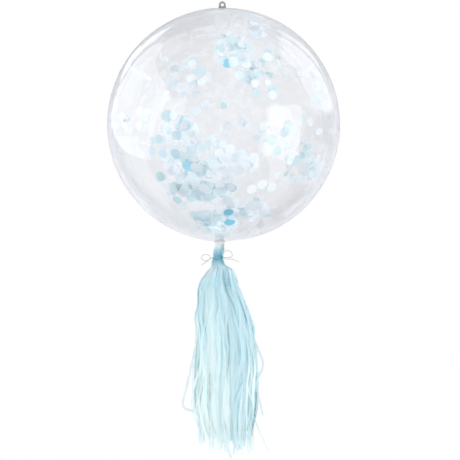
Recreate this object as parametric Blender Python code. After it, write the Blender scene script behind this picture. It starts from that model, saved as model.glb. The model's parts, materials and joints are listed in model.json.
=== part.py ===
"""Clear bubble balloon: a sealed film bubble hung by a small eye, with a tissue tassel tied to its neck.

Metres, +Z up, front towards -Y. The origin is where a hook bears: the top of the eye's bore.
"""

import math

import bmesh
import bpy
from mathutils import Vector

# Bubble: a blown film sphere, a little off the eye's axis, as it hangs
BUBBLE_DIAMETER = 0.457
BUBBLE_SHIFT = 0.0025
BUBBLE_SEGMENTS = 48
RING_STEP = math.radians(9.0)

# Neck: the film gathered into folds below the bubble, and the tail that runs on into the tassel
NECK_SHIFT = -0.0055
NECK_TOP_DIAMETER = 0.0186
NECK_DIAMETER = 0.0158
NECK_LENGTH = 0.0100
NECK_FILLET = 0.0022
PUCKER_REACH = 0.036
PUCKER_DEPTH = 0.0011
TAIL_DIAMETER = 0.0070
TAIL_LENGTH = 0.0260

# Film end: the tail's free end, folded out over the front of the tassel's head
FILM_END_WIDTH = 0.0040
FILM_END_THICKNESS = 0.0012
FILM_END_DROP = 0.0080
FILM_END_ANGLE = math.radians(-42.0)
FILM_END_ROUTE = (
    (-0.0030, 0.0052),
    (0.0004, 0.0042),
    (0.0004, 0.0020),
    (0.0006, -0.0020),
    (0.0003, -FILM_END_DROP),
)

# Hanging eye: a flat moulded ring on a round pad, bonded to the crown
EYE_BORE = 0.0065
EYE_WALL = 0.0035
EYE_THICKNESS = 0.0040
EYE_FOOT = 0.0022
EYE_FOOT_TURN = 0.75
EYE_EDGE = 0.0006
EYE_SEGMENTS = 24
PAD_DIAMETER = 0.0190
PAD_THICKNESS = 0.0010
PAD_SEGMENTS = 24

# Tassel head: tissue twisted to a rope, drawn in where the string binds it
HEAD_LENGTH = 0.0390
HEAD_LEAN = -0.0028
HEAD_DIAMETER = 0.0190
HEAD_FOOT_DIAMETER = 0.0232
HEAD_RIDGES = 8
HEAD_RIDGE_DEPTH = 0.0009
HEAD_TWIST = math.radians(210.0)
HEAD_STEPS = 12
BINDING_DROP = 0.0218

# String: wrapped round the head, knotted in front and tied in a bow
STRING_DIAMETER = 0.0014
BINDING_TURNS = 3
KNOT_ANGLE = math.radians(-54.0)
KNOT_WIDTH = 0.0050
KNOT_HEIGHT = 0.0052
KNOT_DEPTH = 0.0042

# Tassel skirt: cut tissue hanging as a fluted bundle
SKIRT_LENGTH = 0.3250
SKIRT_WIDTH = 0.1300
SKIRT_DEPTH = 0.1040
SKIRT_SEGMENTS = 48
SKIRT_STEPS = 24
SKIRT_SQUARENESS = 2.25
FLUTE_DEPTH = 0.0056
FLUTE_WANDER = 0.35
HEM_RAGGED = 0.0090
HEM_HOLLOW = 0.0160
VALLEY_DEPTH = 0.0120
VALLEY_WIDTH = 0.0100
BACK_VALLEY_DEPTH = 0.0072
BACK_VALLEY_PLACE = -0.12

# Loose strips of the tissue that hang below the hem or stray from the side
STRIP_WIDTH = 0.0130
STRIP_THICKNESS = 0.0020
STRIP_OVERLAP = 0.0500
STRIP_SWAY = 0.0040
STRIP_TIP_SHARE = 0.45
STRIPS_BEHIND = 13
STRIPS_BEHIND_REACH = 0.296
STRIPS_BEHIND_DROP = 0.062
STRAY_STEP = 0.0120

# Gap kept between pieces that touch, and the angle past which an edge is left sharp
FIT_GAP = 0.0003
SHARP_ANGLE = math.radians(40.0)

BUBBLE_RADIUS = BUBBLE_DIAMETER / 2
EYE_CENTRE_Z = -EYE_BORE / 2
PAD_Z = EYE_CENTRE_Z - EYE_BORE / 2 - EYE_WALL
CROWN_Z = PAD_Z - PAD_THICKNESS - FIT_GAP
BUBBLE_Z = CROWN_Z - BUBBLE_RADIUS
BUBBLE_FOOT_Z = BUBBLE_Z - BUBBLE_RADIUS
HEAD_TOP_Z = BUBBLE_FOOT_Z - NECK_LENGTH - FIT_GAP
HEAD_FOOT_Z = HEAD_TOP_Z - HEAD_LENGTH
BINDING_Z = HEAD_TOP_Z - BINDING_DROP
HEM_Z = HEAD_FOOT_Z - SKIRT_LENGTH
HEAD_X = NECK_SHIFT + HEAD_LEAN
BINDING_RADIUS = HEAD_DIAMETER / 2 + FIT_GAP + STRING_DIAMETER / 2
BINDING_HEIGHT = BINDING_TURNS * STRING_DIAMETER

# Outline of the skirt from the front: share of its length, left and right reach as shares of its width
SKIRT_OUTLINE = (
    (0.000, 0.085, 0.094),
    (0.014, 0.150, 0.150),
    (0.032, 0.205, 0.240),
    (0.085, 0.295, 0.298),
    (0.135, 0.345, 0.315),
    (0.240, 0.370, 0.395),
    (0.305, 0.435, 0.445),
    (0.350, 0.405, 0.475),
    (0.420, 0.400, 0.495),
    (0.520, 0.410, 0.530),
    (0.660, 0.435, 0.535),
    (0.820, 0.440, 0.530),
    (0.920, 0.410, 0.510),
    (1.000, 0.360, 0.470),
)

# Line of the deep valley between the two lobes: share of the skirt's length, place as a share of its width
VALLEY_LINE = ((0.00, 0.020), (0.12, 0.070), (0.26, 0.160), (0.45, 0.120), (0.70, 0.150), (1.00, 0.120))

# Strand ends that hang below the hem in front, as shares of the skirt's width, depth and length:
# place across, place in depth, drop below the hem
FRONT_STRANDS = (
    (-0.354, -0.115, 0.074),
    (-0.292, -0.231, 0.111),
    (-0.185, -0.298, 0.148),
    (-0.077, -0.346, 0.126),
    (0.015, -0.288, 0.086),
    (0.108, -0.346, 0.102),
    (0.208, -0.308, 0.120),
    (0.315, -0.260, 0.138),
    (0.400, -0.163, 0.055),
)

# Strands that stray from the side: each has its own width, and a route in shares of the skirt's width,
# depth and length, the last counted up from the hem
STRAYS = {
    "left_loop": (0.0040, (
        (-0.369, -0.058, 0.585),
        (-0.469, -0.115, 0.400),
        (-0.546, -0.144, 0.258),
        (-0.592, -0.144, 0.172),
        (-0.538, -0.115, 0.138),
        (-0.400, -0.058, 0.129),
    )),
    "right_loop": (0.0042, (
        (0.400, -0.058, 0.634),
        (0.538, -0.115, 0.502),
        (0.608, -0.144, 0.434),
        (0.592, -0.135, 0.375),
        (0.462, -0.058, 0.295),
    )),
    "right_flag": (0.0056, (
        (0.446, -0.096, 0.369),
        (0.546, -0.154, 0.225),
        (0.615, -0.173, 0.108),
    )),
    "long_thread": (0.0026, (
        (0.385, -0.135, 0.154),
        (0.477, -0.192, 0.086),
        (0.577, -0.231, -0.006),
        (0.692, -0.250, -0.105),
    )),
}

# Routes of the bow's two cords, from the middle of the binding: out of the knot, round the loop, free end
BOW_LEFT_ROUTE = (
    (0.0036, -0.0122, -0.0003),
    (-0.0005, -0.0128, 0.0000),
    (-0.0050, -0.0124, 0.0002),
    (-0.0095, -0.0108, 0.0000),
    (-0.0135, -0.0093, -0.0012),
    (-0.0175, -0.0086, -0.0040),
    (-0.0228, -0.0080, -0.0058),
    (-0.0290, -0.0075, -0.0044),
    (-0.0327, -0.0075, -0.0002),
    (-0.0300, -0.0080, 0.0045),
    (-0.0238, -0.0090, 0.0065),
    (-0.0180, -0.0102, 0.0048),
    (-0.0149, -0.0112, 0.0006),
    (-0.0173, -0.0110, -0.0038),
    (-0.0220, -0.0102, -0.0072),
    (-0.0278, -0.0096, -0.0111),
    (-0.0332, -0.0092, -0.0154),
)
BOW_RIGHT_ROUTE = (
    (0.0094, -0.0092, 0.0002),
    (0.0125, -0.0082, 0.0003),
    (0.0183, -0.0075, 0.0003),
    (0.0240, -0.0070, 0.0008),
    (0.0277, -0.0070, 0.0042),
    (0.0272, -0.0075, 0.0088),
    (0.0232, -0.0082, 0.0127),
    (0.0178, -0.0090, 0.0139),
    (0.0127, -0.0100, 0.0120),
    (0.0097, -0.0115, 0.0075),
    (0.0098, -0.0122, 0.0022),
    (0.0130, -0.0112, -0.0018),
    (0.0194, -0.0098, -0.0026),
    (0.0277, -0.0088, -0.0028),
    (0.0343, -0.0084, -0.0052),
    (0.0410, -0.0080, -0.0087),
)
CORD_STEP = 2.4 * STRING_DIAMETER


def clear_scene():
    for item in list(bpy.data.objects):
        bpy.data.objects.remove(item)


def finish_of(name, colour, roughness, transmission=0.0):
    """A Principled material for one piece, with its colour in linear values."""
    material = bpy.data.materials.new(name)
    material.use_nodes = True
    shader = material.node_tree.nodes["Principled BSDF"]
    shader.inputs["Base Color"].default_value = (*colour, 1.0)
    shader.inputs["Roughness"].default_value = roughness
    shader.inputs["Metallic"].default_value = 0.0
    shader.inputs["Transmission Weight"].default_value = transmission
    return material


def smooth_step(value):
    value = min(1.0, max(0.0, value))
    return value * value * (3.0 - 2.0 * value)


def bump(value, centre, width):
    """A bell of height 1 at the centre that has faded out about two widths away."""
    return math.exp(-(((value - centre) / width) ** 2))


def read_profile(rows, share, column):
    """The value of one column at this share of the length, on a smooth curve through the rows."""
    last = len(rows) - 1
    index = max(i for i in range(last) if rows[i][0] <= share or i == 0)
    before, start = rows[max(index - 1, 0)], rows[index]
    end, after = rows[index + 1], rows[min(index + 2, last)]
    span = end[0] - start[0]
    t = min(1.0, max(0.0, (share - start[0]) / span))
    slope_in = (end[column] - before[column]) / max(end[0] - before[0], span)
    slope_out = (after[column] - start[column]) / max(after[0] - start[0], span)
    t2, t3 = t * t, t * t * t
    return (
        (2 * t3 - 3 * t2 + 1) * start[column]
        + (t3 - 2 * t2 + t) * span * slope_in
        + (3 * t2 - 2 * t3) * end[column]
        + (t3 - t2) * span * slope_out
    )


def smooth_path(route, step):
    """Points an even step apart on a smooth curve through the route's own points."""
    points = [Vector(p) for p in route]
    ends = [2 * points[0] - points[1], *points, 2 * points[-1] - points[-2]]
    fine = []
    for a, b, c, d in zip(ends, ends[1:], ends[2:], ends[3:]):
        for k in range(24):
            t = k / 24
            fine.append(0.5 * (2 * b + (c - a) * t + (2 * a - 5 * b + 4 * c - d) * t * t
                               + (3 * b - a - 3 * c + d) * t ** 3))
    fine.append(points[-1])
    reach = [0.0]
    for a, b in zip(fine, fine[1:]):
        reach.append(reach[-1] + (b - a).length)
    count = max(2, round(reach[-1] / step))
    found, k = [], 0
    for n in range(count + 1):
        wanted = reach[-1] * n / count
        while k < len(fine) - 2 and reach[k + 1] < wanted:
            k += 1
        share = (wanted - reach[k]) / max(reach[k + 1] - reach[k], 1e-9)
        found.append(fine[k].lerp(fine[k + 1], min(1.0, max(0.0, share))))
    return found


def lofted(name, rings, first_pole, last_pole, material):
    """A closed body through rings of equally many points, with a fan to a point at each end."""
    shape = bmesh.new()
    loops = [[shape.verts.new(p) for p in ring] for ring in rings]
    for upper, lower in zip(loops, loops[1:]):
        for k in range(len(upper)):
            n = (k + 1) % len(upper)
            shape.faces.new((upper[k], upper[n], lower[n], lower[k]))
    for loop, pole in ((loops[0], first_pole), (loops[-1], last_pole)):
        tip = shape.verts.new(pole)
        for k in range(len(loop)):
            shape.faces.new((loop[k], loop[(k + 1) % len(loop)], tip))
    return solid_object(name, shape, material)


def solid_object(name, shape, material):
    bmesh.ops.recalc_face_normals(shape, faces=shape.faces)
    mesh = bpy.data.meshes.new(name)
    shape.to_mesh(mesh)
    shape.free()
    mesh.materials.append(material)
    mesh.shade_smooth()
    mesh.set_sharp_from_angle(angle=SHARP_ANGLE)
    item = bpy.data.objects.new(name, mesh)
    bpy.context.scene.collection.objects.link(item)
    return item


def fuse(body, addition):
    """Joins the addition to the body as one solid; the addition itself stays out of the model."""
    addition.hide_render = True
    addition.display_type = "WIRE"
    union = body.modifiers.new(addition.name, "BOOLEAN")
    union.operation = "UNION"
    union.solver = "EXACT"
    union.object = addition


def circle(centre, radius, count):
    """A level ring of points."""
    turns = (math.tau * k / count for k in range(count))
    return [Vector(centre) + Vector((radius * math.cos(a), radius * math.sin(a), 0.0)) for a in turns]


def ribbon(name, path, width, thickness, outward, material, tip_share=1.0):
    """A thin strip along a path, flat side outward; its width narrows to the tip's share of it."""
    shape = bmesh.new()
    loops = []
    for k, point in enumerate(path):
        along = (path[min(k + 1, len(path) - 1)] - path[max(k - 1, 0)]).normalized()
        share = k / (len(path) - 1)
        across = along.cross(outward).normalized() * width / 2 * (1.0 + (tip_share - 1.0) * share ** 3)
        through = across.cross(along).normalized() * thickness / 2
        corners = (point + across + through, point - across + through,
                   point - across - through, point + across - through)
        loops.append([shape.verts.new(c) for c in corners])
    for upper, lower in zip(loops, loops[1:]):
        for k in range(4):
            shape.faces.new((upper[k], upper[(k + 1) % 4], lower[(k + 1) % 4], lower[k]))
    shape.faces.new(loops[0])
    shape.faces.new(loops[-1])
    return solid_object(name, shape, material)


def bubble_ring(radius, z, fold):
    """A ring of the bubble or its neck. Every second point is drawn in by the fold's depth."""
    pull = smooth_step(1.0 - radius / (2 * PUCKER_REACH)) if z < BUBBLE_Z else 0.0
    centre_x = BUBBLE_SHIFT + (NECK_SHIFT - BUBBLE_SHIFT) * pull
    ring = circle((centre_x, 0.0, z), radius, BUBBLE_SEGMENTS)
    middle = Vector((centre_x, 0.0, z))
    for k in range(1, BUBBLE_SEGMENTS, 2):
        ring[k] = middle + (ring[k] - middle) * (1.0 - fold / radius)
    return ring


def make_balloon(film):
    """The sealed bubble, its gathered neck and its tail, in one piece."""
    rings = []
    angle = RING_STEP
    while BUBBLE_RADIUS * math.sin(angle) > PUCKER_REACH * 1.4 or angle < math.pi / 2:
        up = BUBBLE_RADIUS * math.cos(angle)
        rings.append(bubble_ring(BUBBLE_RADIUS * math.sin(angle), BUBBLE_Z + up, 0.0))
        angle += RING_STEP
    neck_radius = NECK_TOP_DIAMETER / 2
    fillet_radius = neck_radius + NECK_FILLET
    for share in (1.0, 0.66, 0.33, 0.0):
        radius = fillet_radius + (PUCKER_REACH - fillet_radius) * share
        z = BUBBLE_Z - math.sqrt(BUBBLE_RADIUS ** 2 - radius ** 2)
        ring = bubble_ring(radius, z, 0.0)
        lift = PUCKER_DEPTH * (1.0 - share)
        for k in range(1, BUBBLE_SEGMENTS, 2):
            ring[k].z += lift
        rings.append(ring)
    top = rings[-1][0].z
    foot = HEAD_TOP_Z + FIT_GAP
    for share in (0.35, 1.0):
        swing = share * math.pi / 2
        radius = fillet_radius - NECK_FILLET * math.sin(swing)
        rings.append(bubble_ring(radius, top - NECK_FILLET * (1.0 - math.cos(swing)), PUCKER_DEPTH * 0.8))
    low = rings[-1][0].z
    for share in (0.4, 0.75, 1.0):
        radius = neck_radius + (NECK_DIAMETER / 2 - neck_radius) * smooth_step(share * 1.2)
        rings.append(bubble_ring(radius, low + (foot - low) * share, PUCKER_DEPTH * 0.7))
    for drop in (0.0, TAIL_LENGTH):
        rings.append(circle((NECK_SHIFT, 0.0, foot - drop), TAIL_DIAMETER / 2, BUBBLE_SEGMENTS))
    crown = Vector((BUBBLE_SHIFT, 0.0, CROWN_Z))
    tail_end = Vector((NECK_SHIFT, 0.0, foot - TAIL_LENGTH))
    balloon = lofted("balloon", rings, crown, tail_end, film)

    outward = Vector((math.cos(FILM_END_ANGLE), math.sin(FILM_END_ANGLE), 0.0))
    stand_off = NECK_DIAMETER / 2 + HEAD_RIDGE_DEPTH + FIT_GAP + FILM_END_THICKNESS / 2
    axis = Vector((NECK_SHIFT, 0.0, foot))
    path = [axis + outward * (stand_off + out) + Vector((0.0, 0.0, up)) for out, up in FILM_END_ROUTE]
    fuse(balloon, ribbon("film_end", path, FILM_END_WIDTH, FILM_END_THICKNESS, outward, film))
    return balloon


def eye_outline():
    """The eye from the front: an arch over the bore whose sides flare to the feet, and the bore inside it."""
    radius = EYE_BORE / 2 + EYE_WALL
    foot_drop = EYE_CENTRE_Z - (PAD_Z - PAD_THICKNESS / 2)
    outline, bore = [], []
    for k in range(EYE_SEGMENTS):
        angle = math.tau * k / EYE_SEGMENTS
        x, up = radius * math.cos(angle), radius * math.sin(angle)
        if up < 0.0:
            fall = min(1.0, -up / (radius * EYE_FOOT_TURN))
            along = min(1.0, abs(x) / (radius * math.sqrt(1.0 - EYE_FOOT_TURN ** 2)))
            x = math.copysign((radius + EYE_FOOT * fall ** 3) * along, x)
            up = -foot_drop * fall
        outline.append((x, EYE_CENTRE_Z + up))
        bore.append((EYE_BORE / 2 * math.cos(angle), EYE_CENTRE_Z + EYE_BORE / 2 * math.sin(angle)))
    return outline, bore


def make_hanging_loop(plastic):
    """A ring standing on the crown, flat front and back, with feet that flare into a round pad."""
    half = EYE_THICKNESS / 2
    outline, bore = eye_outline()
    shape = bmesh.new()
    loops = [
        [shape.verts.new((x, y, z)) for x, z in line]
        for line, y in ((outline, -half), (outline, half), (bore, half), (bore, -half))
    ]
    for k in range(EYE_SEGMENTS):
        n = (k + 1) % EYE_SEGMENTS
        for a, b in zip(loops, loops[1:] + loops[:1]):
            shape.faces.new((a[k], a[n], b[n], b[k]))
    loop = solid_object("hanging_loop", shape, plastic)
    bevel = loop.modifiers.new("rounded_edges", "BEVEL")
    bevel.width = EYE_EDGE
    bevel.segments = 1
    bevel.limit_method = "ANGLE"
    bevel.angle_limit = math.radians(50.0)

    under = CROWN_Z + FIT_GAP
    rings = [
        circle((0.0, 0.0, PAD_Z - PAD_THICKNESS * fall), PAD_DIAMETER / 2 * share, PAD_SEGMENTS)
        for share, fall in ((0.4, 0.0), (0.8, 0.12), (1.0, 0.55))
    ]
    rings.append(circle((0.0, 0.0, under), PAD_DIAMETER / 2, PAD_SEGMENTS))
    pad = lofted("pad", rings, Vector((0.0, 0.0, PAD_Z)), Vector((0.0, 0.0, under)), plastic)
    fuse(loop, pad)
    return loop


def head_centre(z):
    """The head leans from the neck's axis at its top to its own axis at the binding."""
    return NECK_SHIFT + HEAD_LEAN * smooth_step((HEAD_TOP_Z - z) / BINDING_DROP)


def head_ring(z):
    """A ring of the twisted head, with ridges that wind round it and die out under the string."""
    drop = (HEAD_TOP_Z - z) / HEAD_LENGTH
    binding = BINDING_DROP / HEAD_LENGTH
    if drop < binding:
        radius = NECK_DIAMETER / 2 + (HEAD_DIAMETER - NECK_DIAMETER) / 2 * smooth_step(drop / binding * 1.15)
    else:
        radius = HEAD_DIAMETER / 2 + (HEAD_FOOT_DIAMETER - HEAD_DIAMETER) / 2 * smooth_step(
            (drop - binding) / (1.0 - binding) * 1.4)
    under_string = abs(z - BINDING_Z) / (BINDING_HEIGHT / 2 + STRING_DIAMETER)
    ridge = HEAD_RIDGE_DEPTH * smooth_step(under_string - 0.75) * smooth_step(drop * 8.0)
    ring = []
    for k in range(SKIRT_SEGMENTS):
        angle = math.tau * k / SKIRT_SEGMENTS
        wave = math.cos(HEAD_RIDGES * (angle + HEAD_TWIST * drop / 4))
        reach = radius + ridge * (wave - 1.0) * 0.5 + ridge * 0.6
        ring.append(Vector((head_centre(z) + reach * math.cos(angle), reach * math.sin(angle), z)))
    return ring


def skirt_point(share, k):
    """One point of the skirt: its outline as an oval, then flutes, then the deep valley between the lobes."""
    step = math.tau / SKIRT_SEGMENTS
    angle = step * k
    angle += FLUTE_WANDER * step * math.sin(5.0 * angle + 6.0 * share) * smooth_step(share * 4.0)
    left = read_profile(SKIRT_OUTLINE, share, 1) * SKIRT_WIDTH
    right = read_profile(SKIRT_OUTLINE, share, 2) * SKIRT_WIDTH
    centre = (right - left) / 2 + HEAD_X * (1.0 - smooth_step(share * 3.0))
    half_width = (left + right) / 2
    half_depth = half_width * (1.0 + (SKIRT_DEPTH / SKIRT_WIDTH - 1.0) * smooth_step(share * 4.0))
    power = 2.0 / (2.0 + (SKIRT_SQUARENESS - 2.0) * smooth_step(share * 2.5))
    cosine, sine = math.cos(angle), math.sin(angle)
    x = half_width * math.copysign(abs(cosine) ** power, cosine)
    y = half_depth * math.copysign(abs(sine) ** power, sine)
    growth = smooth_step(share * 5.0)
    unevenness = math.sin(3.0 * angle + 7.0 * share) * math.cos(5.0 * angle - 4.0 * share)
    flute = FLUTE_DEPTH * growth * (0.68 + 0.32 * unevenness) * (k % 2)
    valley_x = read_profile(VALLEY_LINE, share, 1) * SKIRT_WIDTH - centre
    front = smooth_step(-sine * 1.6)
    valley = VALLEY_DEPTH * bump(x, valley_x, VALLEY_WIDTH) * front
    valley *= smooth_step(share * 12.0) * (1.0 - 0.65 * smooth_step(share * 2.4))
    back = BACK_VALLEY_DEPTH * bump(x, BACK_VALLEY_PLACE * SKIRT_WIDTH, VALLEY_WIDTH)
    back *= smooth_step(sine * 1.6) * growth
    inward = 1.0 - (flute + valley + back) / max(math.hypot(x, y), 1e-6)
    z = HEAD_FOOT_Z - SKIRT_LENGTH * share
    ragged = HEM_RAGGED * (math.sin(11.0 * angle + 1.3) + math.sin(17.0 * angle)) * 0.5
    z += ragged * smooth_step((share - 0.86) / 0.14)
    return Vector((centre + x * inward, y * inward, z))


def skirt_ring(share):
    return [skirt_point(share, k) for k in range(SKIRT_SEGMENTS)]


def make_tassel(tissue):
    """Head and skirt are one body with a socket for the balloon's tail; the loose strips are fused to it."""
    socket_radius = TAIL_DIAMETER / 2 + FIT_GAP
    socket_foot = HEAD_TOP_Z - TAIL_LENGTH - FIT_GAP
    rings = [
        circle((NECK_SHIFT, 0.0, socket_foot), socket_radius, SKIRT_SEGMENTS),
        circle((NECK_SHIFT, 0.0, HEAD_TOP_Z), socket_radius, SKIRT_SEGMENTS),
    ]
    rings += [head_ring(HEAD_TOP_Z - HEAD_LENGTH * k / HEAD_STEPS) for k in range(HEAD_STEPS)]
    for k in range(SKIRT_STEPS + 1):
        rings.append(skirt_ring((k / SKIRT_STEPS) ** 1.35))
    hem = skirt_ring(1.0)
    middle = sum(hem, Vector()) / len(hem)
    for inset, lift in ((0.72, 0.6), (0.3, 1.0)):
        rings.append([middle + (p - middle) * inset + Vector((0.0, 0.0, HEM_HOLLOW * lift)) for p in hem])
    peak = middle + Vector((0.0, 0.0, HEM_HOLLOW * 1.1))
    tassel = lofted("tassel", rings, Vector((NECK_SHIFT, 0.0, socket_foot)), peak, tissue)

    strands = list(FRONT_STRANDS)
    for n in range(STRIPS_BEHIND):
        angle = math.pi * (n + 0.5) / STRIPS_BEHIND
        reach = STRIPS_BEHIND_REACH * (1.0 + 0.13 * math.sin(5.0 * n))
        strands.append((middle.x / SKIRT_WIDTH + reach * math.cos(angle), reach * math.sin(angle),
                        STRIPS_BEHIND_DROP * (1.0 + 0.8 * math.sin(2.3 * n + 0.6))))
    for n, (across, deep, drop) in enumerate(strands):
        x, y = across * SKIRT_WIDTH, deep * SKIRT_DEPTH
        outward = Vector((x - middle.x, y * SKIRT_WIDTH / SKIRT_DEPTH, 0.0)).normalized()
        root = Vector((x, y, HEM_Z + STRIP_OVERLAP)) - outward * STRIP_SWAY
        foot = Vector((x, y, HEM_Z - drop * SKIRT_LENGTH))
        lean = STRIP_SWAY * math.sin(1.7 * n)
        path = [root, root.lerp(foot, 0.45) + outward * STRIP_SWAY * 0.5,
                root.lerp(foot, 0.75) + outward * (STRIP_SWAY * 0.75 + lean / 2), foot + outward * lean]
        width = STRIP_WIDTH * (0.75 + 0.25 * math.cos(2.1 * n))
        fuse(tassel, ribbon(f"strip_{n}", path, width, STRIP_THICKNESS, outward, tissue, STRIP_TIP_SHARE))
    front = Vector((0.0, -1.0, 0.0))
    for name, (width, route) in STRAYS.items():
        points = [(x * SKIRT_WIDTH, y * SKIRT_DEPTH, HEM_Z + rise * SKIRT_LENGTH) for x, y, rise in route]
        fuse(tassel, ribbon(name, smooth_path(points, STRAY_STEP), width, STRIP_THICKNESS, front, tissue))
    return tassel


def make_binding(string):
    """The string's turns round the head, laid side by side, and the knot in front."""
    centre = Vector((head_centre(BINDING_Z), 0.0, BINDING_Z))
    turns = 24
    lobes = 3
    radius = STRING_DIAMETER / 2
    section = []
    for turn in range(BINDING_TURNS):
        middle = BINDING_HEIGHT / 2 - STRING_DIAMETER * (turn + 0.5)
        for k in range(lobes):
            angle = math.pi / 2 - math.pi * (k + 0.5) / lobes
            section.append((BINDING_RADIUS + radius * math.cos(angle), middle + radius * math.sin(angle)))
    inner = BINDING_RADIUS - radius
    section.append((inner, -BINDING_HEIGHT / 2 + radius * 0.5))
    section.append((inner, BINDING_HEIGHT / 2 - radius * 0.5))
    shape = bmesh.new()
    loops = []
    for k in range(turns):
        angle = math.tau * k / turns
        loops.append([
            shape.verts.new(centre + Vector((reach * math.cos(angle), reach * math.sin(angle), up)))
            for reach, up in section
        ])
    for k in range(turns):
        here, there = loops[k], loops[(k + 1) % turns]
        for s in range(len(section)):
            n = (s + 1) % len(section)
            shape.faces.new((here[s], here[n], there[n], there[s]))
    binding = solid_object("string_binding", shape, string)

    outward = Vector((math.cos(KNOT_ANGLE), math.sin(KNOT_ANGLE), 0.0))
    across = Vector((-outward.y, outward.x, 0.0))
    middle = centre + outward * (BINDING_RADIUS + KNOT_DEPTH * 0.28)
    rings = []
    for step in range(1, 6):
        height = math.cos(math.pi * step / 6)
        girth = math.sin(math.pi * step / 6)
        ring = []
        for k in range(12):
            angle = math.tau * k / 12
            swell = girth * (1.0 + 0.10 * math.cos(4.0 * angle + step))
            ring.append(middle + across * (KNOT_WIDTH / 2 * swell * math.cos(angle))
                        + outward * (KNOT_DEPTH / 2 * swell * math.sin(angle))
                        + Vector((0.0, 0.0, KNOT_HEIGHT / 2 * height)))
        rings.append(ring)
    top = middle + Vector((0.0, 0.0, KNOT_HEIGHT / 2))
    foot = middle - Vector((0.0, 0.0, KNOT_HEIGHT / 2))
    fuse(binding, lofted("knot", rings, top, foot, string))
    return binding


def make_bow_cord(name, route, string):
    """A round string along its route, with closed ends."""
    middle = Vector((head_centre(BINDING_Z), 0.0, BINDING_Z))
    points = smooth_path([middle + Vector(p) for p in route], CORD_STEP)
    curve = bpy.data.curves.new(name, "CURVE")
    curve.dimensions = "3D"
    curve.bevel_depth = STRING_DIAMETER / 2
    curve.bevel_resolution = 2
    curve.use_fill_caps = True
    spline = curve.splines.new("POLY")
    spline.points.add(len(points) - 1)
    for target, point in zip(spline.points, points):
        target.co = (*point, 1.0)
        target.radius = 1.0
    curve.materials.append(string)
    item = bpy.data.objects.new(name, curve)
    bpy.context.scene.collection.objects.link(item)
    return item


def main():
    clear_scene()
    film = finish_of("clear_film", (0.86, 0.88, 0.89), 0.05, transmission=0.9)
    plastic = finish_of("moulded_plastic", (0.55, 0.54, 0.53), 0.30, transmission=0.4)
    tissue = finish_of("blue_tissue", (0.55, 0.79, 0.87), 0.80)
    string = finish_of("string", (0.46, 0.55, 0.52), 0.75)
    make_balloon(film)
    make_hanging_loop(plastic)
    make_tassel(tissue)
    make_binding(string)
    make_bow_cord("bow_left", BOW_LEFT_ROUTE, string)
    make_bow_cord("bow_right", BOW_RIGHT_ROUTE, string)


main()
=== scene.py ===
"""Looks of the clear bubble balloon: film, tissue confetti, string and tassel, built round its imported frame.

Metres, +Z up, front towards -Y. The origin is where a hook bears: the top of the eye's bore.
"""

import json
import math
from functools import partial

import bmesh
import bpy
import numpy as np
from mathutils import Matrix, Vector

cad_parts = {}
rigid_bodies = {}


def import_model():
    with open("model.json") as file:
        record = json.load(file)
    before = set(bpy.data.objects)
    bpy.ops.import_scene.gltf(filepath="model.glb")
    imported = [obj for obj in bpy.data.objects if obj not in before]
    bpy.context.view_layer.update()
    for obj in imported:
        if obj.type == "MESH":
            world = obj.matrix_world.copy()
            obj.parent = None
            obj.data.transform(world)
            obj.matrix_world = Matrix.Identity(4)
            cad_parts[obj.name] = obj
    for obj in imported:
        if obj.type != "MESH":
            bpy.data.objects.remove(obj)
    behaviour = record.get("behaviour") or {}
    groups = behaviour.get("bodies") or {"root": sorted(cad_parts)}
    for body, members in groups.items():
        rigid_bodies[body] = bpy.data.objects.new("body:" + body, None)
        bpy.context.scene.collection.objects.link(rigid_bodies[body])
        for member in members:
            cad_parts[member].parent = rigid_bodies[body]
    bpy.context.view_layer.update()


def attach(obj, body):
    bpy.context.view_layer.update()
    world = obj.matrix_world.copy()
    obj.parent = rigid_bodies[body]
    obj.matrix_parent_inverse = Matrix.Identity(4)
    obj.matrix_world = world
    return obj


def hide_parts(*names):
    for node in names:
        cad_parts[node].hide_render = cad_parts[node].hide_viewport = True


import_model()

# Sizes repeated from the part's source, in metres
BUBBLE_RADIUS = 0.2285
BUBBLE_MIDDLE = Vector((0.0025, 0.0, -0.2398))
NECK_X = -0.0055
NECK_TOP_RADIUS = 0.0093
NECK_RADIUS = 0.0079
NECK_FOLDS = 24
TAIL_RADIUS = 0.0035
TAIL_LENGTH = 0.026
FILM_END_ANGLE = math.radians(-42.0)
HEAD_TOP = -0.4786
HEAD_LENGTH = 0.039
HEAD_FOOT = HEAD_TOP - HEAD_LENGTH
HEAD_LEAN = -0.0028
HEAD_RADIUS = 0.0095
HEAD_FOOT_RADIUS = 0.0116
HEAD_TWIST = math.radians(210.0)
BINDING_DROP = 0.0218
BINDING = Vector((NECK_X + HEAD_LEAN, 0.0, HEAD_TOP - BINDING_DROP))
STRING_DIAMETER = 0.0014
BINDING_TURNS = 3
KNOT_ANGLE = math.radians(-54.0)
SKIRT_LENGTH = 0.325
SKIRT_WIDTH = 0.130
SKIRT_DEPTH = 0.104

# Sizes of the scene's own fine forms, in metres
FILM_THICKNESS = 0.0003
NECK_FILLET = 0.0050
FOLD_REACH = 0.12
FOLD_DEPTH = 0.0014
FILM_END_REACH = 0.0096
FILM_END_ROUTE = ((-0.0030, 0.0052), (0.0004, 0.0042), (0.0004, 0.0020), (0.0006, -0.0020), (0.0003, -0.0080))
FILM_END_HALF_WIDTH = 0.0028
FILM_END_HALF_THICKNESS = 0.0005
TAIL_START = HEAD_TOP + 0.0003
BINDING_GAP = 0.0003
KNOT_RADIUS, KNOT_STANDOFF = 0.0015, 0.0012
STRING_LAY = 0.0042
CUT_EDGE = math.radians(50.0)
FLOOR_HEIGHT, FLOOR_RADIUS = -1.35, 2.0

# Camera, level with the whole balloon and 3 m in front of it
CAMERA_PLACE = Vector((0.0151, -3.0, -0.446))
CAMERA_LENS, CAMERA_SENSOR = 119.4, 36.0

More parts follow.
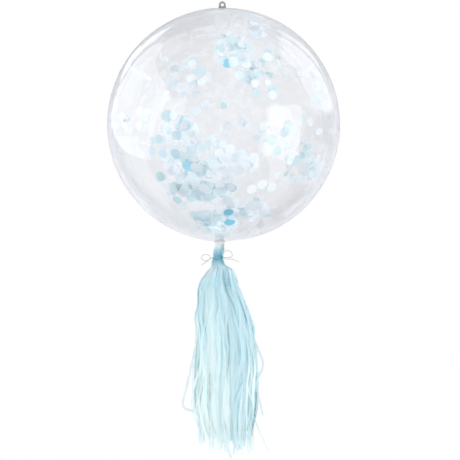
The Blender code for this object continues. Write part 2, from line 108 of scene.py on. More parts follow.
# Kinds of node that come up often. Map Range takes a value, its two ends and the two that they become
MATH = "ShaderNodeMath"
VECTOR_MATH = "ShaderNodeVectorMath"
MAP_RANGE = "ShaderNodeMapRange"
SMOOTHED = {"interpolation_type": "SMOOTHSTEP"}
NOISE = "ShaderNodeTexNoise"
BUMP = "ShaderNodeBump"
COLOUR_MIX = "ShaderNodeMix"
MIX_SHADER = "ShaderNodeMixShader"
TEXTURE_PLACE = "ShaderNodeTexCoord"
SET_POSITION = "GeometryNodeSetPosition"
POSITION = "GeometryNodeInputPosition"
NAMED_ATTRIBUTE = "GeometryNodeInputNamedAttribute"


def linear(colour):
    """A linear colour from an sRGB hex value."""
    shares = [int(colour[k:k + 2], 16) / 255 for k in (1, 3, 5)]
    return (*(s / 12.92 if s <= 0.04045 else ((s + 0.055) / 1.055) ** 2.4 for s in shares), 1.0)


def feed(tree, node, inputs):
    """Sets a node's inputs. Each takes a plain value, a socket, or another node by its first live output."""
    for name, value in inputs.items():
        if isinstance(value, bpy.types.Node):
            value = next(socket for socket in value.outputs if socket.enabled)
        if isinstance(value, bpy.types.NodeSocket):
            tree.links.new(value, node.inputs[name])
        else:
            node.inputs[name].default_value = value


def add_node(tree, kind, *inputs, **settings):
    """Adds a node with its settings. Its inputs come one by one in order, or as a dict by name or number."""
    node = tree.nodes.new(kind)
    for name, value in settings.items():
        setattr(node, name, value)
    feed(tree, node, inputs[0] if inputs and isinstance(inputs[0], dict) else dict(enumerate(inputs)))
    return node


def smooth_step(value):
    value = min(1.0, max(0.0, value))
    return value * value * (3.0 - 2.0 * value)


def hump(distance, width):
    """1 at no distance, falling smoothly to nearly 0 at twice the width."""
    return math.exp(-(distance / width) ** 2)


def sideways(outward):
    """The level direction across an outward one."""
    return Vector((-outward.y, outward.x, 0.0))


def smooth_path(route, step):
    """Points an even step apart on a smooth curve through the route's own points."""
    points = [Vector(p) for p in route]
    ends = [2 * points[0] - points[1], *points, 2 * points[-1] - points[-2]]
    fine = []
    for a, b, c, d in zip(ends, ends[1:], ends[2:], ends[3:]):
        for k in range(24):
            t = k / 24
            fine.append(0.5 * (2 * b + (c - a) * t + (2 * a - 5 * b + 4 * c - d) * t * t
                               + (3 * b - a - 3 * c + d) * t ** 3))
    fine.append(points[-1])
    reach = [0.0]
    for a, b in zip(fine, fine[1:]):
        reach.append(reach[-1] + (b - a).length)
    count = max(2, round(reach[-1] / step))
    found, k = [], 0
    for n in range(count + 1):
        wanted = reach[-1] * n / count
        while k < len(fine) - 2 and reach[k + 1] < wanted:
            k += 1
        share = (wanted - reach[k]) / max(reach[k + 1] - reach[k], 1e-9)
        found.append(fine[k].lerp(fine[k + 1], min(1.0, max(0.0, share))))
    return found


def length_of(points):
    return sum((b - a).length for a, b in zip(points, points[1:]))


# Camera and studio

def make_camera():
    data = bpy.data.cameras.new("camera")
    data.sensor_width, data.lens = CAMERA_SENSOR, CAMERA_LENS
    camera = bpy.data.objects.new("camera", data)
    camera.location = CAMERA_PLACE
    camera.rotation_euler = (math.pi / 2, 0.0, 0.0)
    bpy.context.scene.collection.objects.link(camera)
    bpy.context.scene.camera = camera


def panel(world, angle, height, across, up, soft):
    """A soft-edged light panel in the sky: its span in azimuth and in elevation, in degrees."""
    light = None
    for value, (low, high) in ((angle, across), (height, up)):
        for start, end in ((low - soft, low + soft), (high + soft, high - soft)):
            edge = add_node(world, MAP_RANGE, value, math.radians(start), math.radians(end), **SMOOTHED)
            light = add_node(world, MATH, light, edge, operation="MULTIPLY") if light else edge
    return light


def make_studio():
    """A white surround, soft light on the tissue, and a dimmer studio with panels that the film mirrors."""
    world = bpy.data.worlds.new("studio")
    bpy.context.scene.world = world
    world.use_nodes = True
    world.cycles.sampling_method = "NONE"
    tree = world.node_tree
    add = partial(add_node, tree)
    tree.nodes.clear()
    place = add(TEXTURE_PLACE).outputs["Generated"]
    axes = add("ShaderNodeSeparateXYZ", place).outputs
    left = add(MATH, axes[0], -1.0, operation="MULTIPLY")
    front = add(MATH, axes[1], -1.0, operation="MULTIPLY")
    angle = add(MATH, left, front, operation="ARCTAN2")
    height = add(MATH, axes[2], operation="ARCSINE")

    # Panels of the studio: azimuths and elevations in degrees, soft edge in degrees and strength
    parts = []
    for across, up, soft, strength in (
        ((143.0, 157.0), (17.0, 39.0), 1.5, 0.9),
        ((-138.0, -98.0), (8.0, 51.0), 1.5, 0.90),
        ((-152.0, -143.0), (22.0, 44.0), 1.5, 0.65),
        ((-82.0, -42.0), (-30.0, 14.0), 1.5, 1.05),
        ((88.0, 130.0), (38.0, 62.0), 7.0, 0.45),
        ((-136.0, -112.0), (-30.0, -8.0), 5.0, 0.50),
    ):
        mask = panel(tree, angle, height, across, up, soft)
        parts.append(add(MATH, mask, strength, operation="MULTIPLY"))
    paler_low = add(MAP_RANGE, axes[2], 0.35, -0.08, 0.33, 0.58, **SMOOTHED)
    behind = add(MAP_RANGE, axes[1], 0.55, 0.96, 0.0, paler_low, **SMOOTHED)
    cloud = add(NOISE, {"Vector": place, "Scale": 5.0, "Detail": 4.0, "Roughness": 0.6, "Distortion": 1.2})
    fainter = add(MAP_RANGE, axes[1], -0.7, 0.1, 0.85, 0.25)
    uneven = add(MAP_RANGE, cloud, 0.52, 0.66, 0.0, fainter)
    # The studio is dim towards the upper left and the lower right, and grey elsewhere
    slope = add(VECTOR_MATH, place, (0.7, 0.0, -0.7), operation="DOT_PRODUCT")
    steep = add(MATH, slope, operation="ABSOLUTE")
    grey = add(MAP_RANGE, steep, 0.30, 0.95, 0.44, 0.20, **SMOOTHED)
    dim_low = add(MAP_RANGE, axes[2], -0.25, -0.60, 0.0, -0.13, **SMOOTHED)
    mirrored = 0.0
    for part in (*parts, behind, uneven, grey, dim_low):
        mirrored = add(MATH, mirrored, part, operation="ADD")

    key = add(VECTOR_MATH, place, (0.10, -0.25, 0.96), operation="DOT_PRODUCT")
    soft_light = add(MAP_RANGE, key, -1.0, 1.0, 1.22, 1.68)

    path = add("ShaderNodeLightPath").outputs
    surround = add("ShaderNodeBackground", {"Color": linear("#ffffff"), "Strength": 1.0})
    studio = add("ShaderNodeBackground", {"Color": linear("#f9faff"), "Strength": mirrored})
    fill = add("ShaderNodeBackground", {"Color": linear("#ffffff"), "Strength": soft_light})
    glossy = add(MATH, path["Glossy Depth"], 0.5, operation="GREATER_THAN")
    diffuse = add(MATH, path["Diffuse Depth"], 0.5, operation="GREATER_THAN")
    seen = add(MIX_SHADER, glossy, surround, studio)
    lit = add(MIX_SHADER, diffuse, seen, fill)
    add("ShaderNodeOutputWorld", {"Surface": lit})
    bpy.context.scene.view_settings.view_transform = "Standard"
    # Daylight keeps its full strength through the clear film, and through layers of thin tissue
    bpy.context.scene.cycles.blur_glossy = 0.0
    bpy.context.scene.cycles.diffuse_bounces = 24
    bpy.context.scene.cycles.max_bounces = 40


def make_near_panel():
    """A cut light panel close on the left. The film mirrors it in front, and upside down at the back."""
    near, far = Vector((-0.4495, -0.384, -0.2398)), Vector((-0.3285, 0.173, -0.2398))
    outline = (
        (-0.10, 0.245), (0.14, 0.282), (0.33, 0.314), (0.51, 0.352), (0.64, 0.430), (0.74, 0.500),
        (0.86, 0.440), (0.85, 0.270), (0.85, 0.130), (0.91, 0.040), (0.79, -0.035), (0.64, -0.110),
        (0.37, -0.205), (0.25, -0.115), (0.12, -0.010), (0.02, 0.080), (-0.08, 0.165), (-0.13, 0.215),
    )
    shape = bmesh.new()
    shape.faces.new([shape.verts.new(near.lerp(far, along) + Vector((0.0, 0.0, up)))
                     for along, up in outline])
    material = bpy.data.materials.new("light_panel")
    material.use_nodes = True
    tree = material.node_tree
    add = partial(add_node, tree)
    tree.nodes.clear()
    light = add("ShaderNodeEmission", {"Color": linear("#fbfcff"), "Strength": 1.35})
    # Only mirrored rays meet the panel: straight through the film it is not seen
    path = add("ShaderNodeLightPath").outputs
    mirrored = add(MATH, path["Glossy Depth"], 0.5, operation="GREATER_THAN")
    clear = add("ShaderNodeBsdfTransparent")
    seen = add(MIX_SHADER, mirrored, clear, light)
    add("ShaderNodeOutputMaterial", {"Surface": seen})
    panel_piece = piece_from("near_light_panel", shape, material)
    panel_piece.visible_camera = False
    panel_piece.visible_diffuse = False
    panel_piece.visible_shadow = False


make_camera()
make_studio()


# Geometry Nodes

def new_tree(name, sizes):
    """A Geometry Nodes tree with its inputs by name, and its input and output nodes."""
    kinds = {float: "NodeSocketFloat", int: "NodeSocketInt", bpy.types.Material: "NodeSocketMaterial",
             bpy.types.Collection: "NodeSocketCollection"}
    tree = bpy.data.node_groups.new(name, "GeometryNodeTree")
    tree.interface.new_socket("Geometry", in_out="INPUT", socket_type="NodeSocketGeometry")
    for label, kind in sizes.items():
        tree.interface.new_socket(label, in_out="INPUT", socket_type=kinds[kind])
    tree.interface.new_socket("Geometry", in_out="OUTPUT", socket_type="NodeSocketGeometry")
    return tree, add_node(tree, "NodeGroupInput").outputs, add_node(tree, "NodeGroupOutput")


def close_tree(tree, geometry, material, out):
    """Smooth shading, Realize Instances and Set Material: the end of every tree."""
    smooth = add_node(tree, "GeometryNodeSetShadeSmooth", {"Geometry": geometry})
    real = add_node(tree, "GeometryNodeRealizeInstances", {"Geometry": smooth})
    done = add_node(tree, "GeometryNodeSetMaterial", {"Geometry": real, "Material": material})
    feed(tree, out, {"Geometry": done})


def put_in_scene(name, data):
    piece = bpy.data.objects.new(name, data)
    bpy.context.scene.collection.objects.link(piece)
    return piece


def grow(name, tree, mesh, **values):
    """Runs a tree on a mesh and returns the plain piece that it makes. Underscores stand for spaces."""
    seed = put_in_scene(name + "_line", mesh)
    maker = seed.modifiers.new("maker", "NODES")
    maker.node_group = tree
    wanted = {label.replace("_", " "): value for label, value in values.items()}
    for item in tree.interface.items_tree:
        if item.in_out == "INPUT" and item.name in wanted:
            maker[item.identifier] = wanted[item.name]
    bpy.context.view_layer.update()
    made = bpy.data.meshes.new_from_object(seed.evaluated_get(bpy.context.evaluated_depsgraph_get()))
    bpy.data.objects.remove(seed)
    made.name = name
    made.set_sharp_from_angle(angle=CUT_EDGE)
    return put_in_scene(name, made)


def line_mesh(name, lines, marks=None):
    """Open lines of points as a mesh of edges. Each mark is an attribute: one value or vector a point."""
    mesh = bpy.data.meshes.new(name)
    points, edges = [], []
    for line in lines:
        start = len(points)
        points += [tuple(p) for p in line]
        edges += [(start + k, start + k + 1) for k in range(len(line) - 1)]
    mesh.from_pydata(points, edges, [])
    for label, values in (marks or {}).items():
        flat = np.array(values, dtype=float)
        kind = "FLOAT_VECTOR" if flat.ndim == 2 else "FLOAT"
        layer = mesh.attributes.new(label, kind, "POINT")
        layer.data.foreach_set("vector" if flat.ndim == 2 else "value", flat.ravel())
    return mesh


def join_rings(shape, rings):
    """Walls between neighbouring rings of corners. A ring of one repeated corner closes the wall there."""
    faces = []
    for a, b in zip(rings, rings[1:]):
        for k in range(len(a)):
            n = (k + 1) % len(a)
            faces.append(shape.faces.new(list(dict.fromkeys((a[k], a[n], b[n], b[k])))))
    return faces


def piece_from(name, shape, material):
    """A piece from a bmesh, with its faces outward and smooth."""
    bmesh.ops.recalc_face_normals(shape, faces=shape.faces)
    mesh = bpy.data.meshes.new(name)
    shape.to_mesh(mesh)
    shape.free()
    mesh.materials.append(material)
    mesh.shade_smooth()
    return put_in_scene(name, mesh)


make_near_panel()


# Materials

def new_material(name, **values):
    """A Principled material with plain values on its own sockets."""
    material = bpy.data.materials.new(name)
    material.use_nodes = True
    shader = material.node_tree.nodes["Principled BSDF"]
    for label, value in values.items():
        shader.inputs[label.replace("_", " ")].default_value = value
    return material, material.node_tree, shader


def grained(name, scale, detail, relief=None, tones=None, **values):
    """A material with plain values, and noise on the piece's own place that raises and colours its surface.

    The relief is a strength and a depth in metres. The tones are a dark and a pale colour.
    """
    material, tree, shader = new_material(name, **values)
    add = partial(add_node, tree)
    place = add(TEXTURE_PLACE).outputs["Object"]
    grain = add(NOISE, {"Vector": place, "Scale": scale, "Detail": detail})
    if tones:
        dark, pale = map(linear, tones)
        tone = add(COLOUR_MIX, {0: grain, 6: dark, 7: pale}, data_type="RGBA")
        feed(tree, shader, {"Base Color": tone})
    if relief:
        strength, depth = relief
        bump = add(BUMP, {"Strength": strength, "Distance": depth, "Height": grain})
        feed(tree, shader, {"Normal": bump})
    return material


def tissue_paper(name, deep, pale, through, creases):
    """Dyed tissue paper: thin and matt, lets light through, with fibres 0.8 mm across and soft creases."""
    material, tree, shader = new_material(name, Roughness=0.8, Specular_IOR_Level=0.2)
    add = partial(add_node, tree)
    place = add(TEXTURE_PLACE).outputs["Object"]
    stretched = add("ShaderNodeMapping", {"Vector": place, "Scale": (1.0, 1.0, 0.25)})
    fibre = add(NOISE, {"Vector": place, "Scale": 1250.0, "Detail": 3.0})
    crease = add(NOISE, {
        "Vector": stretched, "Scale": creases, "Detail": 3.0, "Roughness": 0.55, "Distortion": 0.6})
    # The tone attribute holds a random tone and, on the tassel, painted light and painted shade as well
    strip = add("ShaderNodeAttribute", attribute_name="tone").outputs["Fac"]
    fleck = add(MATH, fibre, 0.30, -0.15, operation="MULTIPLY_ADD")
    mottle = add(MATH, fleck, strip, operation="ADD", use_clamp=True)
    tone = add(COLOUR_MIX, {0: mottle, 6: linear(deep), 7: linear(pale)}, data_type="RGBA")
    # Painted shade: frayed ends, strays and loose strips are mixed towards grey, so they show against the
    # white
    painted_shade = add("ShaderNodeAttribute", attribute_name="painted_shade").outputs["Fac"]
    shade = add(COLOUR_MIX, {0: painted_shade, 6: tone, 7: linear("#d3dbdd")}, data_type="RGBA")
    bump = add(BUMP, {"Strength": 0.22, "Distance": 0.0005, "Height": crease})
    feed(tree, shader, {"Base Color": shade, "Normal": bump})
    glow = add("ShaderNodeBsdfTranslucent", {"Color": shade, "Normal": bump})
    mixed = add(MIX_SHADER, through, shader, glow)
    feed(tree, tree.nodes["Material Output"], {"Surface": mixed})
    return material


# Blown PVC film: colourless and glossy, with faint ripples about 9 mm apart that bend its mirror images
film = grained("blown_pvc_film", 110.0, 1.0, (0.12, 0.0004),
               Base_Color=linear("#fafbfd"), Transmission_Weight=1.0, Roughness=0.0, IOR=1.52)
# The same film folded on itself many times over the tissue: a darker grey-green, with creases 1 mm apart
folded_film = grained("folded_pvc_film", 900.0, 2.0, (0.4, 0.0002),
                      Base_Color=linear("#a4b9b1"), Transmission_Weight=0.3, Roughness=0.25, IOR=1.52)
# The same film gathered tight in the neck: its many layers turn it milky, with creases 1.5 mm apart
gathered_film = grained("gathered_pvc_film", 650.0, 2.0, (0.3, 0.0003),
                        Base_Color=linear("#f3f1f6"), Transmission_Weight=0.6, Roughness=0.20, IOR=1.40)
# Moulded ABS, smoky grey and a little see-through, with fine moulding speckle 0.5 mm across
plastic = grained("smoky_moulded_plastic", 2000.0, 2.0, (0.2, 0.00005), ("#8a8785", "#a6a3a1"),
                  Transmission_Weight=0.35, IOR=1.53, Roughness=0.22)
# Spun cotton string: matt, with fibres about 0.3 mm apart that catch the light and a soft fuzz of sheen
string, shaded_string = (
    grained(name, 3300.0, 2.0, (0.6, 0.0001), tones,
            Roughness=0.85, Sheen_Weight=0.25, Specular_IOR_Level=0.25)
    for name, tones in (("spun_string", ("#93a3a0", "#c6d3cf")),
                        # The binding's copy of the string is painted a darker teal: painted shade where it
                        # lies bound in the tissue
                        ("spun_string_shaded_in_the_binding", ("#2a88a0", "#5fb6ca"))))
# Painted studio floor: pale and matt, with faint roller marks about 40 mm apart
floor_paint = grained("painted_floor", 25.0, 3.0, None, ("#f1f1f0", "#f6f6f5"), Roughness=0.9)
blue_tissue = tissue_paper("blue_tissue_paper", "#98daea", "#fafefe", 0.70, 120.0)
white_tissue = tissue_paper("white_tissue_paper", "#dce3e6", "#f3f6f8", 0.40, 150.0)
pale_tissue = tissue_paper("pale_blue_tissue_paper", "#cce1e6", "#f1f6f7", 0.40, 150.0)
deep_tissue = tissue_paper("deep_blue_tissue_paper", "#86cfe2", "#c0e6ef", 0.30, 150.0)


# String: the bow's two free cords, the turns round the head and the knot

def laid_string_tree():
    """Three plies laid into a string that follows each line of points."""
    tree, given, out = new_tree("laid_string", {
        "Diameter": float, "Lay Length": float, "Material": bpy.types.Material})
    add = partial(add_node, tree)
    curve = add("GeometryNodeMeshToCurve", {0: given["Geometry"]})
    along = add("GeometryNodeSplineParameter").outputs["Length"]
    turns = add(MATH, along, given["Lay Length"], operation="DIVIDE")
    tilt = add(MATH, turns, math.tau, operation="MULTIPLY")
    twisted = add("GeometryNodeSetCurveTilt", {"Curve": curve, "Tilt": tilt})
    ring = add("GeometryNodeCurvePrimitiveCircle", {"Resolution": 12, "Radius": 1.0})
    index = add("GeometryNodeInputIndex")
    lobe = add(MATH, index, math.tau / 4, operation="MULTIPLY")
    wave = add(MATH, lobe, operation="COSINE")
    swell = add(MATH, wave, 0.12, 0.98, operation="MULTIPLY_ADD")
    place = add(POSITION)
    plied = add(VECTOR_MATH, {0: place, "Scale": swell}, operation="SCALE")
    section = add(SET_POSITION, {"Geometry": ring, "Position": plied})
    radius = add(MATH, given["Diameter"], 0.5, operation="MULTIPLY")
    body = add("GeometryNodeCurveToMesh", {
        "Curve": twisted, "Profile Curve": section, "Scale": radius, "Fill Caps": True})
    close_tree(tree, body, given["Material"], out)
    return tree


BOW_LEFT_ROUTE = (
    (0.0036, -0.0122, -0.0003),
    (-0.0005, -0.0128, 0.0000),
    (-0.0050, -0.0124, 0.0002),
    (-0.0095, -0.0108, 0.0000),
    (-0.0135, -0.0093, -0.0012),
    (-0.0175, -0.0086, -0.0040),
    (-0.0228, -0.0080, -0.0058),
    (-0.0290, -0.0075, -0.0044),
    (-0.0327, -0.0075, -0.0002),
    (-0.0300, -0.0080, 0.0045),
    (-0.0238, -0.0090, 0.0065),
    (-0.0180, -0.0102, 0.0048),
    (-0.0149, -0.0112, 0.0006),
    (-0.0173, -0.0110, -0.0038),
    (-0.0220, -0.0102, -0.0072),
    (-0.0278, -0.0096, -0.0111),
    (-0.0332, -0.0092, -0.0154),
)
BOW_RIGHT_ROUTE = (
    (0.0094, -0.0092, 0.0002),
    (0.0125, -0.0082, 0.0003),
    (0.0183, -0.0075, 0.0003),
    (0.0240, -0.0070, 0.0008),
    (0.0277, -0.0070, 0.0042),
    (0.0272, -0.0075, 0.0088),
    (0.0232, -0.0082, 0.0127),
    (0.0178, -0.0090, 0.0139),
    (0.0127, -0.0100, 0.0120),
    (0.0097, -0.0115, 0.0075),
    (0.0098, -0.0122, 0.0022),
    (0.0130, -0.0112, -0.0018),
    (0.0194, -0.0098, -0.0026),
    (0.0277, -0.0088, -0.0028),
    (0.0343, -0.0084, -0.0052),
    (0.0410, -0.0080, -0.0087),
)


def make_bow(tree):
    """The bow's loops and tails, from the knot to each free end."""
    for name, route in (("bow_left", BOW_LEFT_ROUTE), ("bow_right", BOW_RIGHT_ROUTE)):
        points = smooth_path([BINDING + Vector(p) for p in route], STRING_DIAMETER * 0.45)
        cord = grow(name + "_string", tree, line_mesh(name, [points]),
                    Diameter=STRING_DIAMETER, Lay_Length=STRING_LAY, Material=string)
        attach(cord, "root")
        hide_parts(name)
        tuple(points[0])
        length_of(points)
        [tuple(p) for p in points]


def make_binding(tree):
    """Three tight turns round the head, and the knot that they meet in."""
    steps = 72
    radius = HEAD_RADIUS + BINDING_GAP + STRING_DIAMETER / 2
    turns = []
    for k in range(BINDING_TURNS * steps + 1):
        angle = KNOT_ANGLE + math.tau * k / steps
        rise = STRING_DIAMETER * (BINDING_TURNS / 2 - 0.5) * (1.0 - 2.0 * k / (BINDING_TURNS * steps))
        turns.append(BINDING + Vector((radius * math.cos(angle), radius * math.sin(angle), rise)))
    outward = Vector((math.cos(KNOT_ANGLE), math.sin(KNOT_ANGLE), 0.0))
    middle = BINDING + outward * (radius + KNOT_STANDOFF)
    # The knot's line winds twice round its middle and never quite closes
    knot, knot_steps = [], 96
    for k in range(knot_steps + 1):
        t = math.tau * k / knot_steps * 0.985
        ring = KNOT_RADIUS * (1.0 + 0.38 * math.cos(3.0 * t))
        knot.append(middle + sideways(outward) * ring * 1.15 * math.cos(2.0 * t)
                    + outward * KNOT_RADIUS / 2 * math.sin(3.0 * t)
                    + Vector((0.0, 0.0, ring * 1.25 * math.sin(2.0 * t))))
    # The turns and knot take the string's darker copy, painted with shade
    binding = grow("binding_turns", tree, line_mesh("binding_turns", [turns, knot]),
                   Diameter=STRING_DIAMETER * 1.04, Lay_Length=STRING_LAY, Material=shaded_string)
    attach(binding, "root")
    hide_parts("string_binding")


laid_string = laid_string_tree()
make_bow(laid_string)
make_binding(laid_string)


# Bubble: outer and inner wall of one film, the gathered neck and the tail

def waver(tree, place, spacing, **character):
    """Noise about zero at this spacing, between -0.5 and 0.5."""
    pitch = add_node(tree, MATH, 1.0, spacing, operation="DIVIDE")
    noise = add_node(tree, NOISE, {"Vector": place, "Scale": pitch, **character})
    return add_node(tree, MATH, noise, 0.5, operation="SUBTRACT")


def turned_film_tree():
    """Turns a profile into a film wall, draws folds into its foot and lets the wall ripple a little."""
    tree, given, out = new_tree("turned_film", {
        "Segments": int, "Folds": int, "Fold Depth": float, "Fold Reach": float, "Foot Shift": float,
        "Ripple": float, "Ripple Spacing": float, "Wrinkle": float, "Wrinkle Spacing": float,
        "Centre Height": float, "Material": bpy.types.Material})
    add = partial(add_node, tree)
    profile = add("GeometryNodeMeshToCurve", {0: given["Geometry"]})
    rail = add("GeometryNodeCurvePrimitiveCircle", {"Resolution": given["Segments"], "Radius": 0.00001})
    turned = add("GeometryNodeCurveToMesh", {"Curve": rail, "Profile Curve": profile})
    place = add(POSITION)
    axes = add("ShaderNodeSeparateXYZ", place).outputs
    flat = add(VECTOR_MATH, place, (1.0, 1.0, 0.0), operation="MULTIPLY")
    radius = add(VECTOR_MATH, flat, operation="LENGTH")
    outward = add(VECTOR_MATH, flat, operation="NORMALIZE")
    angle = add(MATH, axes[1], axes[0], operation="ARCTAN2")

    # Low half only, and stronger towards the neck
    below = add(MATH, given["Centre Height"], 0.12, operation="SUBTRACT")
    low = add(MAP_RANGE, axes[2], given["Centre Height"], below)
    near = add(MAP_RANGE, radius, given["Fold Reach"], 0.009, **SMOOTHED)
    foot = add(MATH, low, near, operation="MULTIPLY")
    wander = add(NOISE, {"Vector": outward, "Scale": 2.2, "Detail": 1.0})
    swing = add(MATH, wander, 1.4, angle, operation="MULTIPLY_ADD")
    phase = add(MATH, swing, given["Folds"], operation="MULTIPLY")
    wave = add(MATH, phase, operation="COSINE")
    dip = add(MATH, wave, 0.5, -0.5, operation="MULTIPLY_ADD")
    depth = add(MATH, dip, given["Fold Depth"], operation="MULTIPLY")
    fold = add(MATH, depth, foot, operation="MULTIPLY")
    inward = add(VECTOR_MATH, {0: outward, "Scale": fold}, operation="SCALE")

    # The foot shifts to the neck, which hangs a little off the bubble's middle
    shift_reach = add(MATH, given["Fold Reach"], 0.6, operation="MULTIPLY")
    pull = add(MAP_RANGE, radius, shift_reach, 0.0, **SMOOTHED)
    shift = add(MATH, pull, given["Foot Shift"], operation="MULTIPLY")
    started = add(MATH, low, 8.0, operation="MULTIPLY", use_clamp=True)
    aside = add(MATH, started, shift, operation="MULTIPLY")
    lift = add("ShaderNodeCombineXYZ", {0: aside})

    # Ripples run along the wall's own outward direction, alike on both faces of the film
    centre = add("ShaderNodeCombineXYZ", {2: given["Centre Height"]})
    spoke = add(VECTOR_MATH, place, centre, operation="SUBTRACT")
    ray = add(VECTOR_MATH, spoke, operation="NORMALIZE")
    level = waver(tree, place, given["Ripple Spacing"], Detail=1.5)
    broad = add(MATH, level, given["Ripple"], operation="MULTIPLY")
    crease = waver(tree, place, given["Wrinkle Spacing"], Detail=2.0, Distortion=0.8)
    # The wrinkles come and go in patches, as on film that was not blown up quite evenly
    patch = add(NOISE, {"Vector": place, "Scale": 11.0, "Detail": 0.0})
    slack = add(MAP_RANGE, patch, 0.42, 0.62, 0.25)
    deep = add(MATH, slack, given["Wrinkle"], operation="MULTIPLY")
    height = add(MATH, crease, deep, broad, operation="MULTIPLY_ADD")
    ripple = add(VECTOR_MATH, {0: ray, "Scale": height}, operation="SCALE")
    both = add(VECTOR_MATH, inward, ripple, operation="ADD")
    offset = add(VECTOR_MATH, both, lift, operation="ADD")
    moved = add(SET_POSITION, {"Geometry": turned, "Offset": offset})
    merged = add("GeometryNodeMergeByDistance", {"Geometry": moved, "Distance": 0.00003})
    close_tree(tree, merged, given["Material"], out)
    return tree


def add_film_end(mesh, foot):
    """The tail's free end in three pleats, folded out of the neck and down over the head's front."""
    outward = Vector((math.cos(FILM_END_ANGLE), math.sin(FILM_END_ANGLE), 0.0))
    across = sideways(outward)
    axis = Vector((NECK_X, 0.0, foot))
    path = smooth_path([axis + outward * (FILM_END_REACH + out) + Vector((0.0, 0.0, up))
                        for out, up in FILM_END_ROUTE], FILM_END_HALF_THICKNESS)
    shape = bmesh.new()
    shape.from_mesh(mesh)
    rings, count = [], 24
    for k, point in enumerate(path):
        share = k / (len(path) - 1)
        along = (path[min(k + 1, len(path) - 1)] - path[max(k - 1, 0)]).normalized()
        lift = across.cross(along) * FILM_END_HALF_THICKNESS
        half = FILM_END_HALF_WIDTH * (1.0 + 0.10 * math.sin(9.0 * share))
        half *= 1.0 - 0.35 * smooth_step((share - 0.8) / 0.2)
        ring = []
        for n in range(count):
            angle = math.tau * n / count
            pleat = 1.0 + 0.35 * math.cos(5.0 * math.cos(angle) * math.pi)
            ring.append(shape.verts.new(
                point + across * half * math.cos(angle) + lift * math.sin(angle) * pleat))
        rings.append(ring)
    faces = [shape.faces.new(rings[0]), shape.faces.new(rings[-1]), *join_rings(shape, rings)]
    bmesh.ops.recalc_face_normals(shape, faces=faces)
    for face in faces:
        face.material_index = 1
        face.smooth = len(face.verts) == 4
    shape.to_mesh(mesh)
    shape.free()


def make_bubble():
    """Profile from the crown down the outer face to the tail, and up the inner face to the crown again."""
    steps = 140
    centre = BUBBLE_MIDDLE.z
    fillet = NECK_TOP_RADIUS + NECK_FILLET
    last = math.pi - math.asin(fillet / BUBBLE_RADIUS)
    outer = [(BUBBLE_RADIUS * math.sin(last * k / steps), centre + BUBBLE_RADIUS * math.cos(last * k / steps))
             for k in range(steps + 1)]
    top = outer[-1][1]
    for k in range(1, 7):
        swing = math.pi / 2 * k / 6
        outer.append((fillet - NECK_FILLET * math.sin(swing), top - NECK_FILLET * (1.0 - math.cos(swing))))
    low = outer[-1][1]
    foot = TAIL_START
    for k in range(1, 9):
        share = k / 8
        outer.append((NECK_TOP_RADIUS + (NECK_RADIUS - NECK_TOP_RADIUS) * smooth_step(share * 1.2),
                      low + (foot - low) * share))
    outer += [(TAIL_RADIUS, foot), (TAIL_RADIUS, foot - TAIL_LENGTH * 0.5), (TAIL_RADIUS, foot - TAIL_LENGTH),
              (0.0, foot - TAIL_LENGTH)]
    reach = BUBBLE_RADIUS - FILM_THICKNESS
    inner = [(reach * math.sin(last * k / steps), centre + reach * math.cos(last * k / steps))
             for k in range(steps, -1, -1)]
    inner.insert(0, (0.0, inner[0][1] - 0.0005))
    mesh = line_mesh("film_profile", [[(r, -z, 0.0) for r, z in outer], [(r, -z, 0.0) for r, z in inner]])
    bubble = grow("film_bubble", turned_film_tree(), mesh, Segments=320, Folds=NECK_FOLDS,
                  Fold_Depth=FOLD_DEPTH, Fold_Reach=FOLD_REACH, Foot_Shift=NECK_X - BUBBLE_MIDDLE.x,
                  Ripple=0.0006, Ripple_Spacing=0.08, Wrinkle=0.0020, Wrinkle_Spacing=0.030,
                  Centre_Height=centre, Material=film)
    for vertex in bubble.data.vertices:
        vertex.co.x += BUBBLE_MIDDLE.x
    bubble.data.materials.append(folded_film)
    bubble.data.materials.append(gathered_film)
    # Below the bubble's round the film is gathered: there it takes the milky material
    for face in bubble.data.polygons:
        if face.center.z < top - 0.00025:
            face.material_index = 2
    add_film_end(bubble.data, foot)
    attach(bubble, "root")
    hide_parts("balloon")


make_bubble()


# Hanging eye

